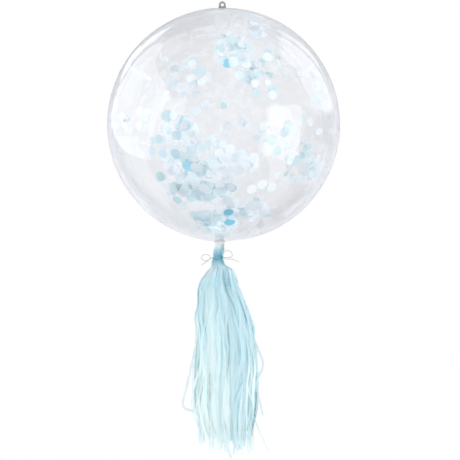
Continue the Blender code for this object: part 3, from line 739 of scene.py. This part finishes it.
def make_eye():
    """The moulded ring on its pad: flat faces, rounded edges and feet that flare into the pad."""
    bore, wall, thickness, flare, turn = 0.00325, 0.0035, 0.004, 0.0022, 0.75
    centre_z, pad_z, pad_thickness, pad_radius = -0.00325, -0.0100, 0.001, 0.0095
    count = 72
    rounding = 0.0007
    shape = bmesh.new()
    loops = []
    radius = bore + wall
    drop = centre_z - (pad_z - pad_thickness / 2)

    def outline(angle, inset):
        x, up = radius * math.cos(angle), radius * math.sin(angle)
        if up < 0.0:
            fall = min(1.0, -up / (radius * turn))
            along = min(1.0, abs(x) / (radius * math.sqrt(1.0 - turn ** 2)))
            x = math.copysign((radius + flare * fall ** 3) * along, x)
            up = -drop * fall
        share = 1.0 - inset / radius
        return x * share, centre_z + up * (share if up > 0.0 else 1.0)

    half = thickness / 2
    section = []
    for k in range(5):
        swing = math.pi / 2 * k / 4
        section.append(("out", rounding * (1.0 - math.sin(swing)),
                        -half + rounding * (1.0 - math.cos(swing))))
    section += [(side, inset, -y) for side, inset, y in reversed(section)]
    inside = [("in", inset, y) for side, inset, y in reversed(section)]
    for side, inset, y in section + inside:
        ring = []
        for k in range(count):
            angle = math.tau * k / count
            if side == "out":
                x, z = outline(angle, inset)
            else:
                x, z = (bore + inset) * math.cos(angle), centre_z + (bore + inset) * math.sin(angle)
            ring.append(shape.verts.new((x, y, z)))
        loops.append(ring)
    join_rings(shape, loops + loops[:1])

    # Pad: a shallow moulded dome with a rolled rim, as shares of its radius and falls from its top
    profile = ((0.0, 0.0), (0.4, 0.0), (0.7, 0.00006), (0.86, 0.0002), (0.96, 0.0004), (1.0, 0.00065),
               (1.0, 0.0009), (0.98, pad_thickness), (0.0, pad_thickness))
    rings = []
    for share, fall in profile:
        z = pad_z - fall
        if share == 0.0:
            rings.append([shape.verts.new((0.0, 0.0, z))] * count)
        else:
            rings.append([shape.verts.new((pad_radius * share * math.cos(math.tau * k / count),
                                           pad_radius * share * math.sin(math.tau * k / count), z))
                          for k in range(count)])
    join_rings(shape, rings)
    eye = piece_from("moulded_eye", shape, plastic)
    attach(eye, "root")
    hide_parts("hanging_loop")


make_eye()


# Tassel

# The skirt's outline: share of its length, then its reach to the left and to the right as shares of its width
SKIRT_OUTLINE = np.array((
    (0.000, 0.085, 0.135),
    (0.008, 0.115, 0.205),
    (0.020, 0.165, 0.250),
    (0.040, 0.225, 0.278),
    (0.085, 0.295, 0.305),
    (0.135, 0.345, 0.315),
    (0.240, 0.370, 0.395),
    (0.305, 0.435, 0.445),
    (0.350, 0.405, 0.475),
    (0.420, 0.400, 0.495),
    (0.520, 0.410, 0.530),
    (0.660, 0.435, 0.535),
    (0.820, 0.440, 0.530),
    (0.920, 0.410, 0.510),
    (1.000, 0.360, 0.470),
))
# The groove down the skirt's front: share of its length, and place across as a share of its width
VALLEY_LINE = np.array((
    (0.00, 0.020), (0.12, 0.070), (0.26, 0.160), (0.45, 0.120), (0.70, 0.150), (1.00, 0.120)))

# Ends of the strips in front: place across and drop below the hem, as shares of the skirt's sizes
FRONT_ENDS = np.array((
    (-0.450, -0.010), (-0.400, 0.040), (-0.354, 0.110), (-0.292, 0.120), (-0.185, 0.148), (-0.077, 0.126),
    (0.015, 0.110), (0.108, 0.112), (0.208, 0.130), (0.290, 0.138), (0.345, 0.090), (0.400, 0.055),
    (0.500, 0.000)))

# Strips that stray from the side: width, and a route in shares of the skirt's width, depth and length
STRAYS = (
    (0.0046, (
        (-0.330, -0.100, 0.780), (-0.369, -0.140, 0.585), (-0.469, -0.150, 0.400), (-0.546, -0.144, 0.258),
        (-0.592, -0.144, 0.172), (-0.538, -0.115, 0.138), (-0.400, -0.058, 0.129))),
    (0.0046, (
        (0.320, -0.140, 0.800), (0.405, -0.120, 0.634), (0.538, -0.130, 0.502), (0.608, -0.144, 0.434),
        (0.592, -0.135, 0.375), (0.482, -0.098, 0.295), (0.430, -0.080, 0.240))),
    (0.0058, (
        (0.420, -0.140, 0.520), (0.446, -0.136, 0.369), (0.546, -0.154, 0.225), (0.615, -0.173, 0.108))),
    (0.0070, (
        (-0.110, -0.040, 1.010), (-0.150, -0.050, 0.990), (-0.205, -0.050, 0.972), (-0.250, -0.050, 0.945),
        (-0.280, -0.050, 0.910), (-0.308, -0.050, 0.865), (-0.350, -0.050, 0.750), (-0.365, -0.050, 0.600))),
    (0.0050, (
        (-0.100, 0.050, 1.010), (-0.170, 0.050, 0.985), (-0.225, 0.050, 0.955), (-0.262, 0.050, 0.915),
        (-0.300, 0.050, 0.860), (-0.345, 0.050, 0.700))),
    (0.0026, (
        (0.360, -0.200, 0.300), (0.385, -0.180, 0.154), (0.477, -0.192, 0.086), (0.577, -0.231, -0.006),
        (0.692, -0.250, -0.105))),
)
LOOSE_STRIPS = 22


def tissue_strips_tree():
    """Cut strips along their lines: a thin bowed section as wide as each point asks, then crinkled."""
    tree, given, out = new_tree("tissue_strips", {
        "Bow": float, "Thickness": float, "Crinkle": float, "Crinkle Spacing": float,
        "Material": bpy.types.Material})
    add = partial(add_node, tree)
    curve = add("GeometryNodeMeshToCurve", {0: given["Geometry"]})
    facing = add(NAMED_ATTRIBUTE, {"Name": "facing"}, data_type="FLOAT_VECTOR")
    turned = add("GeometryNodeSetCurveNormal", mode="FREE")
    feed(tree, turned, {"Curve": curve, "Normal": facing})
    ring = add("GeometryNodeCurvePrimitiveCircle", {"Resolution": 6, "Radius": 1.0})
    axes = add("ShaderNodeSeparateXYZ", add(POSITION)).outputs
    square = add(MATH, axes[0], axes[0], operation="MULTIPLY")
    arch = add(MATH, square, given["Bow"], operation="MULTIPLY")
    skin = add(MATH, axes[1], given["Thickness"], arch, operation="MULTIPLY_ADD")
    flat = add("ShaderNodeCombineXYZ", {0: skin, 1: axes[0]})
    section = add(SET_POSITION, {"Geometry": ring, "Position": flat})
    width = add(NAMED_ATTRIBUTE, {"Name": "half_width"}, data_type="FLOAT")
    body = add("GeometryNodeCurveToMesh", {
        "Curve": turned, "Profile Curve": section, "Scale": width, "Fill Caps": True})
    place = add(POSITION)
    squeezed = add(VECTOR_MATH, place, (1.0, 1.0, 0.55), operation="MULTIPLY")
    pitch = add(MATH, 1.0, given["Crinkle Spacing"], operation="DIVIDE")
    noise = add(NOISE, {"Vector": squeezed, "Scale": pitch, "Detail": 2.0}).outputs["Color"]
    level = add(VECTOR_MATH, noise, (0.5, 0.5, 0.5), operation="SUBTRACT")
    push = add(VECTOR_MATH, {0: level, "Scale": given["Crinkle"]}, operation="SCALE")
    crinkled = add(SET_POSITION, {"Geometry": body, "Offset": push})
    close_tree(tree, crinkled, given["Material"], out)
    return tree


def skirt_reach(share, column):
    """Reach of the skirt to one side at this share of its length, in metres, without kinks."""
    steps = np.linspace(-0.025, 0.025, 7)
    return float(np.mean(np.interp(share + steps * min(1.0, 0.15 + 6.0 * abs(share)), SKIRT_OUTLINE[:, 0],
                                   SKIRT_OUTLINE[:, column]))) * SKIRT_WIDTH


def hang(angle, inset, drop):
    """A point on the tassel, this far down from the head's top: its place, and its direction outward."""
    z = HEAD_TOP - drop
    cosine, sine = math.cos(angle), math.sin(angle)
    if drop < HEAD_LENGTH:
        centre = NECK_X + HEAD_LEAN * smooth_step(drop / BINDING_DROP)
        waist = hump(drop - BINDING_DROP, 0.0045)
        top = NECK_RADIUS + (HEAD_RADIUS - NECK_RADIUS) * smooth_step(drop / BINDING_DROP * 1.15)
        foot = HEAD_FOOT_RADIUS - HEAD_RADIUS
        radius = top + foot * smooth_step((drop - BINDING_DROP) / (HEAD_LENGTH - BINDING_DROP) * 1.4)
        radius = (radius + 0.0006 - 0.0013 * waist) * (1.0 - inset * 0.35)
        return Vector((centre + radius * cosine, radius * sine, z)), Vector((cosine, sine, 0.0))
    share = (drop - HEAD_LENGTH) / SKIRT_LENGTH
    left, right = skirt_reach(min(share, 1.0), 1), skirt_reach(min(share, 1.0), 2)
    centre = (right - left) / 2 + (NECK_X + HEAD_LEAN) * (1.0 - smooth_step(share * 3.0))
    half = (left + right) / 2
    deep = half * (1.0 + (SKIRT_DEPTH / SKIRT_WIDTH - 1.0) * smooth_step(share * 4.0))
    power = 2.0 / (2.0 + 0.25 * smooth_step(share * 2.5))
    x = half * math.copysign(abs(cosine) ** power, cosine)
    y = deep * math.copysign(abs(sine) ** power, sine)
    valley = np.interp(share, VALLEY_LINE[:, 0], VALLEY_LINE[:, 1]) * SKIRT_WIDTH - centre
    dip = 0.013 * hump(x - valley, 0.010) * smooth_step(-sine * 1.6)
    dip *= smooth_step(share * 12.0) * (1.0 - 0.65 * smooth_step(share * 2.4))
    lobes = 0.5 - 0.5 * math.cos(13.0 * angle + 2.2 * math.sin(2.0 * angle + 4.0 * share))
    dip += 0.0024 * lobes * smooth_step(share * 5.0)
    notch = 0.26 * hump(share - 0.045, 0.02) * smooth_step((-cosine - 0.35) / 0.35)
    scale = (1.0 - inset) * (1.0 - notch) * (1.0 - dip / max(math.hypot(x, y), 1e-6))
    outward = Vector((x / half ** 2, y / deep ** 2, 0.0)).normalized()
    return Vector((centre + x * scale, y * scale, z)), outward


def hem_drop(across, front):
    """How far below the hem a strip ends, as a share of the skirt's length. The front ends in locks."""
    if not front:
        return 0.07
    gap = FRONT_ENDS[:, 0] - across
    near = float(np.min(np.abs(gap))) / 0.05
    return float(np.interp(across, FRONT_ENDS[:, 0], FRONT_ENDS[:, 1])) - 0.085 * min(1.0, near) ** 2


class Strips:
    """Lines of points for the tissue strips, with what the tree and the material read at each point."""

    def __init__(self):
        self.lines = []
        self.marks = {"half_width": [], "facing": [], "tone": [], "painted_shade": []}

    def add(self, place, outward, spin, half, tone, painted_shade):
        """One more point of the newest line. The strip faces outward, turned by the spin."""
        self.lines[-1].append(place)
        facing = outward * math.cos(spin) + sideways(outward) * math.sin(spin)
        for label, value in zip(self.marks, (half, tuple(facing), tone, painted_shade)):
            self.marks[label].append(value)


def hang_layers(strips, dice):
    """Layers of strips, gathered and twisted in the head and hanging loose below it."""
    steps = 40
    # How many strips, how deep the layer lies as a share of the reach, and half a strip's width
    layers = (
        (84, 0.00, 0.0046), (80, 0.03, 0.0048), (76, 0.07, 0.0050), (66, 0.14, 0.0055), (46, 0.32, 0.0060))
    for layer, (count, inset, half) in enumerate(layers):
        for n in range(count):
            start = math.tau * (n + 0.5 * (layer % 2) + dice.uniform(-0.45, 0.45)) / count
            phase, sway, twist_phase, roll = dice.uniform(0.0, math.tau, 4)
            tone = dice.uniform(-0.07, 0.07)
            depth = inset + dice.uniform(0.0, 0.04)
            bulge = dice.uniform(-0.0012, 0.0007)
            puff = dice.uniform(-0.20, 0.03) if layer < 3 else dice.uniform(-0.1, 0.1)
            first = dice.uniform(-0.003, 0.004)
            roam = 0.26 if dice.uniform() < 0.3 else 0.08
            foot, _ = hang(start, depth, HEAD_LENGTH + SKIRT_LENGTH)
            below = hem_drop(foot.x / SKIRT_WIDTH, math.sin(start) < 0.2)
            below -= dice.uniform(0.0, 0.4) ** 2 if layer < 2 else dice.uniform(0.02, 0.16)
            length = HEAD_LENGTH + SKIRT_LENGTH * (1.0 + below)
            width = half * dice.uniform(0.6, 1.25)
            strips.lines.append([])
            for k in range(steps + 1):
                reach = k / steps
                # Closer points in the head and the shoulder, where the strip bends most
                drop = first + (length - first) * (0.50 * reach + 0.50 * reach ** 2.2)
                share = max(0.0, (drop - HEAD_LENGTH) / SKIRT_LENGTH)
                gathered = 1.0 - smooth_step(share * 8.0)
                open_out = smooth_step(share * 2.5)
                turn = HEAD_TWIST / 4 * min(1.0, drop / HEAD_LENGTH)
                wander = math.sin(phase + 5.0 * share) + 0.35 * math.sin(sway + 17.0 * share)
                wander *= roam * smooth_step(share * 3.0)
                arch = puff * hump(share - 0.06, 0.06)
                place, outward = hang(start + turn + wander, depth - arch, drop)
                free = gathered * (1.0 - hump(drop - BINDING_DROP, 0.005))
                place += outward * (bulge * free + 0.0022 * math.sin(sway + 7.0 * share) * open_out)
                here = width * (0.26 + 0.74 * smooth_step(share * 6.0))
                here *= 1.0 - 0.25 * open_out * (0.5 + 0.5 * math.sin(roll + 9.0 * share))
                here *= 1.0 - 0.6 * smooth_step((reach - 0.92) / 0.08)
                spin = (0.20 + 0.14 * share) * math.sin(twist_phase + 10.0 * share) * open_out
                spin += 0.7 * free * math.sin(roll + 60.0 * drop)

                # Tone, mostly painted light and shade: painted shade in the bound head, in the skirt's grooves
                # and high on the skirt where the layers pack; painted light at the head's foot and at the
                # skirt's sides; paler at the head's top; a random tone per strip; and the ends past the hem
                # greyed as painted shade
                # Painted shade down the skirt's front groove and down a second valley to its left
                groove_shade = hump(place.x - np.interp(share, *VALLEY_LINE.T) * SKIRT_WIDTH, 0.008)
                groove_shade += 0.7 * hump(place.x + 0.07 * SKIRT_WIDTH, 0.006)
                groove_shade *= (1.0 - smooth_step(share * 3.0)) * (place.y < 0.0)
                tip = 0.35 * (1.0 - smooth_step(drop / 0.010))
                # Painted shade at the binding, and painted light at the head's foot
                head_shade = 0.46 * hump(drop - BINDING_DROP, 0.0075)
                head_shade -= 0.20 * hump(drop - HEAD_LENGTH - 0.004, 0.014)
                # Painted light: the skirt's sides are lightened, the right side more than the left
                edge = (0.16 + 0.04 * math.cos(start)) * abs(math.cos(start)) ** 3 * open_out
                # Painted shade high on the skirt where the layers pack, fading down the skirt
                paler = 0.06 * smooth_step(share * 9.0) + 0.07 * smooth_step((share - 0.3) * 2.0)
                strips.add(place, outward, spin, here,
                           0.71 + paler + tip - head_shade + tone - 0.16 * groove_shade + edge,
                           0.16 * smooth_step((share - 0.88) / 0.18))


def hang_strays(strips):
    """The few strips that stray far from the sides."""
    hem = HEAD_FOOT - SKIRT_LENGTH
    for width, route in STRAYS:
        points = smooth_path([(x * SKIRT_WIDTH, y * SKIRT_DEPTH, hem + rise * SKIRT_LENGTH)
                              for x, y, rise in route], 0.004)
        strips.lines.append([])
        for k, point in enumerate(points):
            spin = 0.9 * math.sin(3.0 * k / len(points) + width * 900.0)
            # The strays are mixed towards grey as painted shade
            strips.add(point, Vector((0.0, -1.0, 0.0)), spin, width / 2, 0.92, 0.38)


def hang_loose_strips(strips, dice):
    """Strips that hang a little way off the tassel's two sides."""
    steps = 24
    for n in range(LOOSE_STRIPS):
        start = (math.pi if n % 2 else 0.0) + dice.uniform(-0.8, 0.8)
        top, foot = dice.uniform(0.10, 0.70), dice.uniform(0.86, 1.08)
        swell, sway, roll = dice.uniform(0.02, 0.15), *dice.uniform(0.0, math.tau, 2)
        # The grey share is painted shade on the loose strips
        half, grey = dice.uniform(0.0014, 0.0024), dice.uniform(0.0, 0.10)
        strips.lines.append([])
        for k in range(steps + 1):
            t = k / steps
            out = swell * smooth_step(t * 2.0) * (1.0 - 0.35 * t) - 0.03
            place, outward = hang(start + 0.10 * math.sin(sway + 6.0 * t), -out,
                                  HEAD_LENGTH + SKIRT_LENGTH * (top + (foot - top) * t))
            strips.add(place, outward, 0.8 * math.sin(roll + 5.0 * t),
                       half * (1.0 - 0.5 * smooth_step((t - 0.8) / 0.2)), 0.97, grey)


def make_tassel():
    """All the strips, made paper."""
    dice = np.random.default_rng(23)
    strips = Strips()
    hang_layers(strips, dice)
    hang_strays(strips)
    hang_loose_strips(strips, dice)
    tassel = grow("tissue_tassel", tissue_strips_tree(), line_mesh("strip_lines", strips.lines, strips.marks),
                  Bow=-0.16, Thickness=0.02, Crinkle=0.0042, Crinkle_Spacing=0.015, Material=blue_tissue)
    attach(tassel, "root")
    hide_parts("tassel")


make_tassel()


# Confetti sealed in the bubble: discs of tissue that cling to the inside of the film

# Clusters: place from the bubble's middle as seen from the front and spread, in mm; then how many discs,
# the share on the front wall, the shares of pale blue and of deep blue, and the tone from 0, deep, to 1, pale
CONFETTI_CLUSTERS = (
    ((22.0, 146.0), (36.0, 26.0), 34, 0.5, 0.70, 0.02, 0.85),
    ((72.0, 112.0), (46.0, 34.0), 26, 0.3, 0.45, 0.0, 0.65),
    ((-60.0, 92.0), (52.0, 46.0), 22, 0.3, 0.35, 0.0, 0.60),
    ((66.0, 186.0), (62.0, 18.0), 16, 0.4, 0.1, 0.0, 0.80),
    ((-92.0, -30.0), (40.0, 52.0), 46, 0.6, 0.50, 0.02, 0.80),
    ((-176.0, -10.0), (34.0, 54.0), 16, 0.4, 0.3, 0.0, 0.90),
    ((-84.0, -98.0), (44.0, 42.0), 52, 0.65, 0.55, 0.03, 0.60),
    ((-34.0, -134.0), (56.0, 26.0), 64, 0.6, 0.50, 0.03, 0.55),
    ((-20.0, -64.0), (44.0, 40.0), 34, 0.5, 0.25, 0.0, 0.80),
    ((-20.0, -192.0), (44.0, 20.0), 40, 0.5, 0.6, 0.08, 0.58),
    ((158.0, -74.0), (34.0, 44.0), 34, 0.5, 0.6, 0.01, 0.62),
    ((106.0, -24.0), (40.0, 34.0), 14, 0.4, 0.4, 0.0, 0.70),
    ((182.0, 60.0), (22.0, 44.0), 8, 0.4, 0.6, 0.0, 0.70),
    ((26.0, -84.0), (42.0, 30.0), 22, 0.8, 0.05, 0.0, 0.80),
    ((48.0, -170.0), (46.0, 20.0), 34, 0.7, 0.1, 0.0, 0.65),
    ((0.0, 0.0), (196.0, 190.0), 60, 0.4, 0.25, 0.0, 0.70),
)

# Single discs that stand out: place and diameter in mm, tissue (0 white, 1 pale blue, 2 deep blue)
# and its tone from 0, deep, to 1, pale
CONFETTI_SINGLES = (
    (20.0, 168.0, 21.0, 1, 0.50), (36.0, 158.0, 18.0, 1, 0.40), (54.0, 152.0, 19.0, 1, 0.60),
    (34.0, 136.0, 20.0, 1, 0.60), (8.0, 122.0, 20.0, 2, 0.35), (64.0, 62.0, 17.0, 1, 0.45),
    (0.0, 39.0, 13.0, 1, 0.10), (-6.0, 152.0, 18.0, 1, 0.35), (-112.0, 18.0, 23.0, 1, 0.35),
    (-78.0, 2.0, 21.0, 2, 0.60), (-92.0, -20.0, 19.0, 1, 0.20), (-128.0, -28.0, 17.0, 1, 0.25),
    (-95.0, -57.0, 20.0, 1, 0.00), (-70.0, -80.0, 25.0, 2, 0.70), (-44.0, -92.0, 20.0, 1, 0.15),
    (-124.0, -101.0, 20.0, 1, 0.10), (-92.0, -148.0, 19.0, 1, 0.15), (-50.0, -134.0, 18.0, 1, 0.10),
    (10.0, -172.0, 19.0, 2, 0.00), (12.0, -192.0, 21.0, 2, 0.00), (-37.0, -193.0, 22.0, 2, 0.70),
    (-52.0, -186.0, 18.0, 1, 0.10), (-58.0, -176.0, 19.0, 1, 0.30),
    (60.0, -65.0, 20.0, 0, 0.9), (42.0, -79.0, 20.0, 0, 0.9), (29.0, -86.0, 20.0, 0, 0.9),
    (76.0, -117.0, 20.0, 0, 1.0), (56.0, -127.0, 20.0, 0, 1.0), (95.0, -123.0, 20.0, 0, 1.0),
    (12.0, -48.0, 20.0, 0, 0.9), (9.0, -66.0, 20.0, 0, 0.9), (14.0, -88.0, 19.0, 0, 0.9),
    (46.0, -172.0, 19.0, 0, 0.9), (66.0, -180.0, 19.0, 0, 0.9), (82.0, -164.0, 18.0, 0, 0.9),
    (96.0, -30.0, 20.0, 1, 0.55), (120.0, -14.0, 19.0, 1, 0.35), (107.0, -50.0, 19.0, 1, 0.50),
)

# Of each base shape: how many of the discs take it, and how far it rises towards the film for its width
CONFETTI_SHARES = (0.45, 0.17, 0.22, 0.16)
CONFETTI_RISE = (0.01, 0.06, 0.02, 0.17)
# Clearance between a disc and the film, and how far discs lean that lie flat and that don't
CONFETTI_CLEARANCE = (0.0022, 0.0040)
FLAT_LEAN, BENT_LEAN = 0.04, 0.5


def confetti_shapes():
    """Base shapes of one disc, 1 across: lying on the film, curled, folded nearly in half and crumpled."""
    shelf = bpy.data.collections.new("confetti_shapes")
    count, half_skin = 12, 0.006
    bends = (
        lambda x, y: (x, y, -0.03 * (x * x + y * y) * 4.0),
        lambda x, y: (x, y, -0.55 * x * x - 0.2 * x * y),
        lambda x, y: (x * 0.75, y, -0.9 * max(0.0, x + 0.05)),
        lambda x, y: (x, y * 0.9, 0.16 * math.sin(7.0 * x) * math.cos(5.0 * y)),
    )
    for number, bend in enumerate(bends):
        shape = bmesh.new()
        rims = []
        for skin in (Vector((0.0, 0.0, half_skin)), Vector((0.0, 0.0, -half_skin))):
            rings = [[shape.verts.new(Vector(bend(0.0, 0.0)) + skin)] * count]
            for radius in (0.27, 0.5):
                angles = [math.tau * k / count for k in range(count)]
                rings.append([shape.verts.new(Vector(bend(radius * math.cos(a), radius * math.sin(a))) + skin)
                              for a in angles])
            join_rings(shape, rings)
            rims.append(rings[-1])
        join_rings(shape, rims)
        bmesh.ops.recalc_face_normals(shape, faces=shape.faces)
        mesh = bpy.data.meshes.new(f"disc_{number}")
        shape.to_mesh(mesh)
        shape.free()
        shelf.objects.link(bpy.data.objects.new(f"disc_{number}", mesh))
    return shelf


def scatter_tree():
    """One disc on each point: which shape, how wide and which way it faces come from the point."""
    tree, given, out = new_tree("confetti", {"Shapes": bpy.types.Collection, "Material": bpy.types.Material})
    add = partial(add_node, tree)
    shapes = add("GeometryNodeCollectionInfo", {
        "Collection": given["Shapes"], "Separate Children": True, "Reset Children": True})
    points = add("GeometryNodeMeshToPoints", {0: given["Geometry"]})
    facing = add(NAMED_ATTRIBUTE, {"Name": "facing"}, data_type="FLOAT_VECTOR")
    size, turn, kind = (add(NAMED_ATTRIBUTE, {"Name": name}, data_type="FLOAT")
                        for name in ("size", "turn", "kind"))
    whole = add("FunctionNodeFloatToInt", {0: kind})
    spun = add("FunctionNodeAxisAngleToRotation", {"Axis": (0.0, 0.0, 1.0), "Angle": turn})
    aimed = add("FunctionNodeAlignRotationToVector", {"Vector": facing}, axis="Z")
    posed = add("FunctionNodeRotateRotation", {
        "Rotation": aimed, "Rotate By": spun}, rotation_space="LOCAL")
    discs = add("GeometryNodeInstanceOnPoints", {
        "Points": points, "Instance": shapes, "Pick Instance": True, "Instance Index": whole,
        "Rotation": posed, "Scale": size})
    close_tree(tree, discs, given["Material"], out)
    return tree


def on_film(across, up, front, depth):
    """The point inside the film that the camera sees at this place, and the direction out to its wall."""
    aim = (BUBBLE_MIDDLE + Vector((across, 0.0, up)) - CAMERA_PLACE).normalized()
    reach = BUBBLE_RADIUS - FILM_THICKNESS - depth
    back = CAMERA_PLACE - BUBBLE_MIDDLE
    along = -aim.dot(back)
    inside = reach ** 2 - (back.length_squared - along ** 2)
    if inside < 0.0:
        return None, None
    place = CAMERA_PLACE + aim * (along - math.sqrt(inside) if front else along + math.sqrt(inside))
    return place, (place - BUBBLE_MIDDLE).normalized()


def make_confetti():
    dice = np.random.default_rng(7)
    chosen = [(x, z, size, tissue, tone, True, 0) for x, z, size, tissue, tone in CONFETTI_SINGLES]
    for (x, z), (wide, tall), count, front, pale, deep, middle_tone in CONFETTI_CLUSTERS:
        for _ in range(count):
            angle, reach = dice.uniform(0.0, math.tau), math.sqrt(dice.uniform(0.0, 1.0))
            pick = dice.uniform()
            tissue = 2 if pick < deep else 1 if pick < deep + pale else 0
            size = dice.uniform(15.0, 22.0 if tissue else 20.0)
            kind = dice.choice(4, p=CONFETTI_SHARES)
            tone = min(1.0, middle_tone + dice.uniform(-0.3, 0.3))
            chosen.append((x + wide * reach * math.cos(angle), z + tall * reach * math.sin(angle), size,
                           tissue, tone, dice.uniform() < front, kind))
    tree, shelf = scatter_tree(), confetti_shapes()
    names = ("white_confetti", "pale_blue_confetti", "deep_blue_confetti")
    for tissue, (name, material) in enumerate(zip(names, (white_tissue, pale_tissue, deep_tissue))):
        points, marks = [], {"facing": [], "size": [], "turn": [], "kind": [], "tone": []}
        for x, z, size, which, tone, front, kind in chosen:
            tilt = Vector(dice.normal(0.0, BENT_LEAN if kind else FLAT_LEAN, 3))
            turn = dice.uniform(0.0, math.tau)
            depth = dice.uniform(*CONFETTI_CLEARANCE) + size / 1000 * CONFETTI_RISE[kind]
            place, outward = on_film(x / 1000, z / 1000, front, depth)
            if which != tissue or place is None:
                continue
            # A disc that leans keeps its rim inside the film
            lean = (outward + tilt).angle(outward)
            place -= outward * (size / 2000 * abs(math.sin(lean)))
            points.append(place)
            marks["facing"].append(tuple((outward + tilt).normalized()))
            marks["size"].append(size / 1000)
            marks["turn"].append(turn)
            marks["kind"].append(float(kind))
            marks["tone"].append(tone)
        confetti = grow(name, tree, line_mesh(name, [[p] for p in points], marks),
                        Shapes=shelf, Material=material)
        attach(confetti, "root")
    for item in list(shelf.objects):
        bpy.data.objects.remove(item)
    bpy.data.collections.remove(shelf)


make_confetti()


# Floor, well below the hanging balloon and out of the picture

def make_floor():
    shape = bmesh.new()
    bmesh.ops.create_circle(shape, cap_ends=True, radius=FLOOR_RADIUS, segments=96)
    for vertex in shape.verts:
        vertex.co.z = FLOOR_HEIGHT
    floor = piece_from("studio_floor", shape, floor_paint)
    floor.visible_glossy = False
    floor.visible_transmission = False


make_floor()
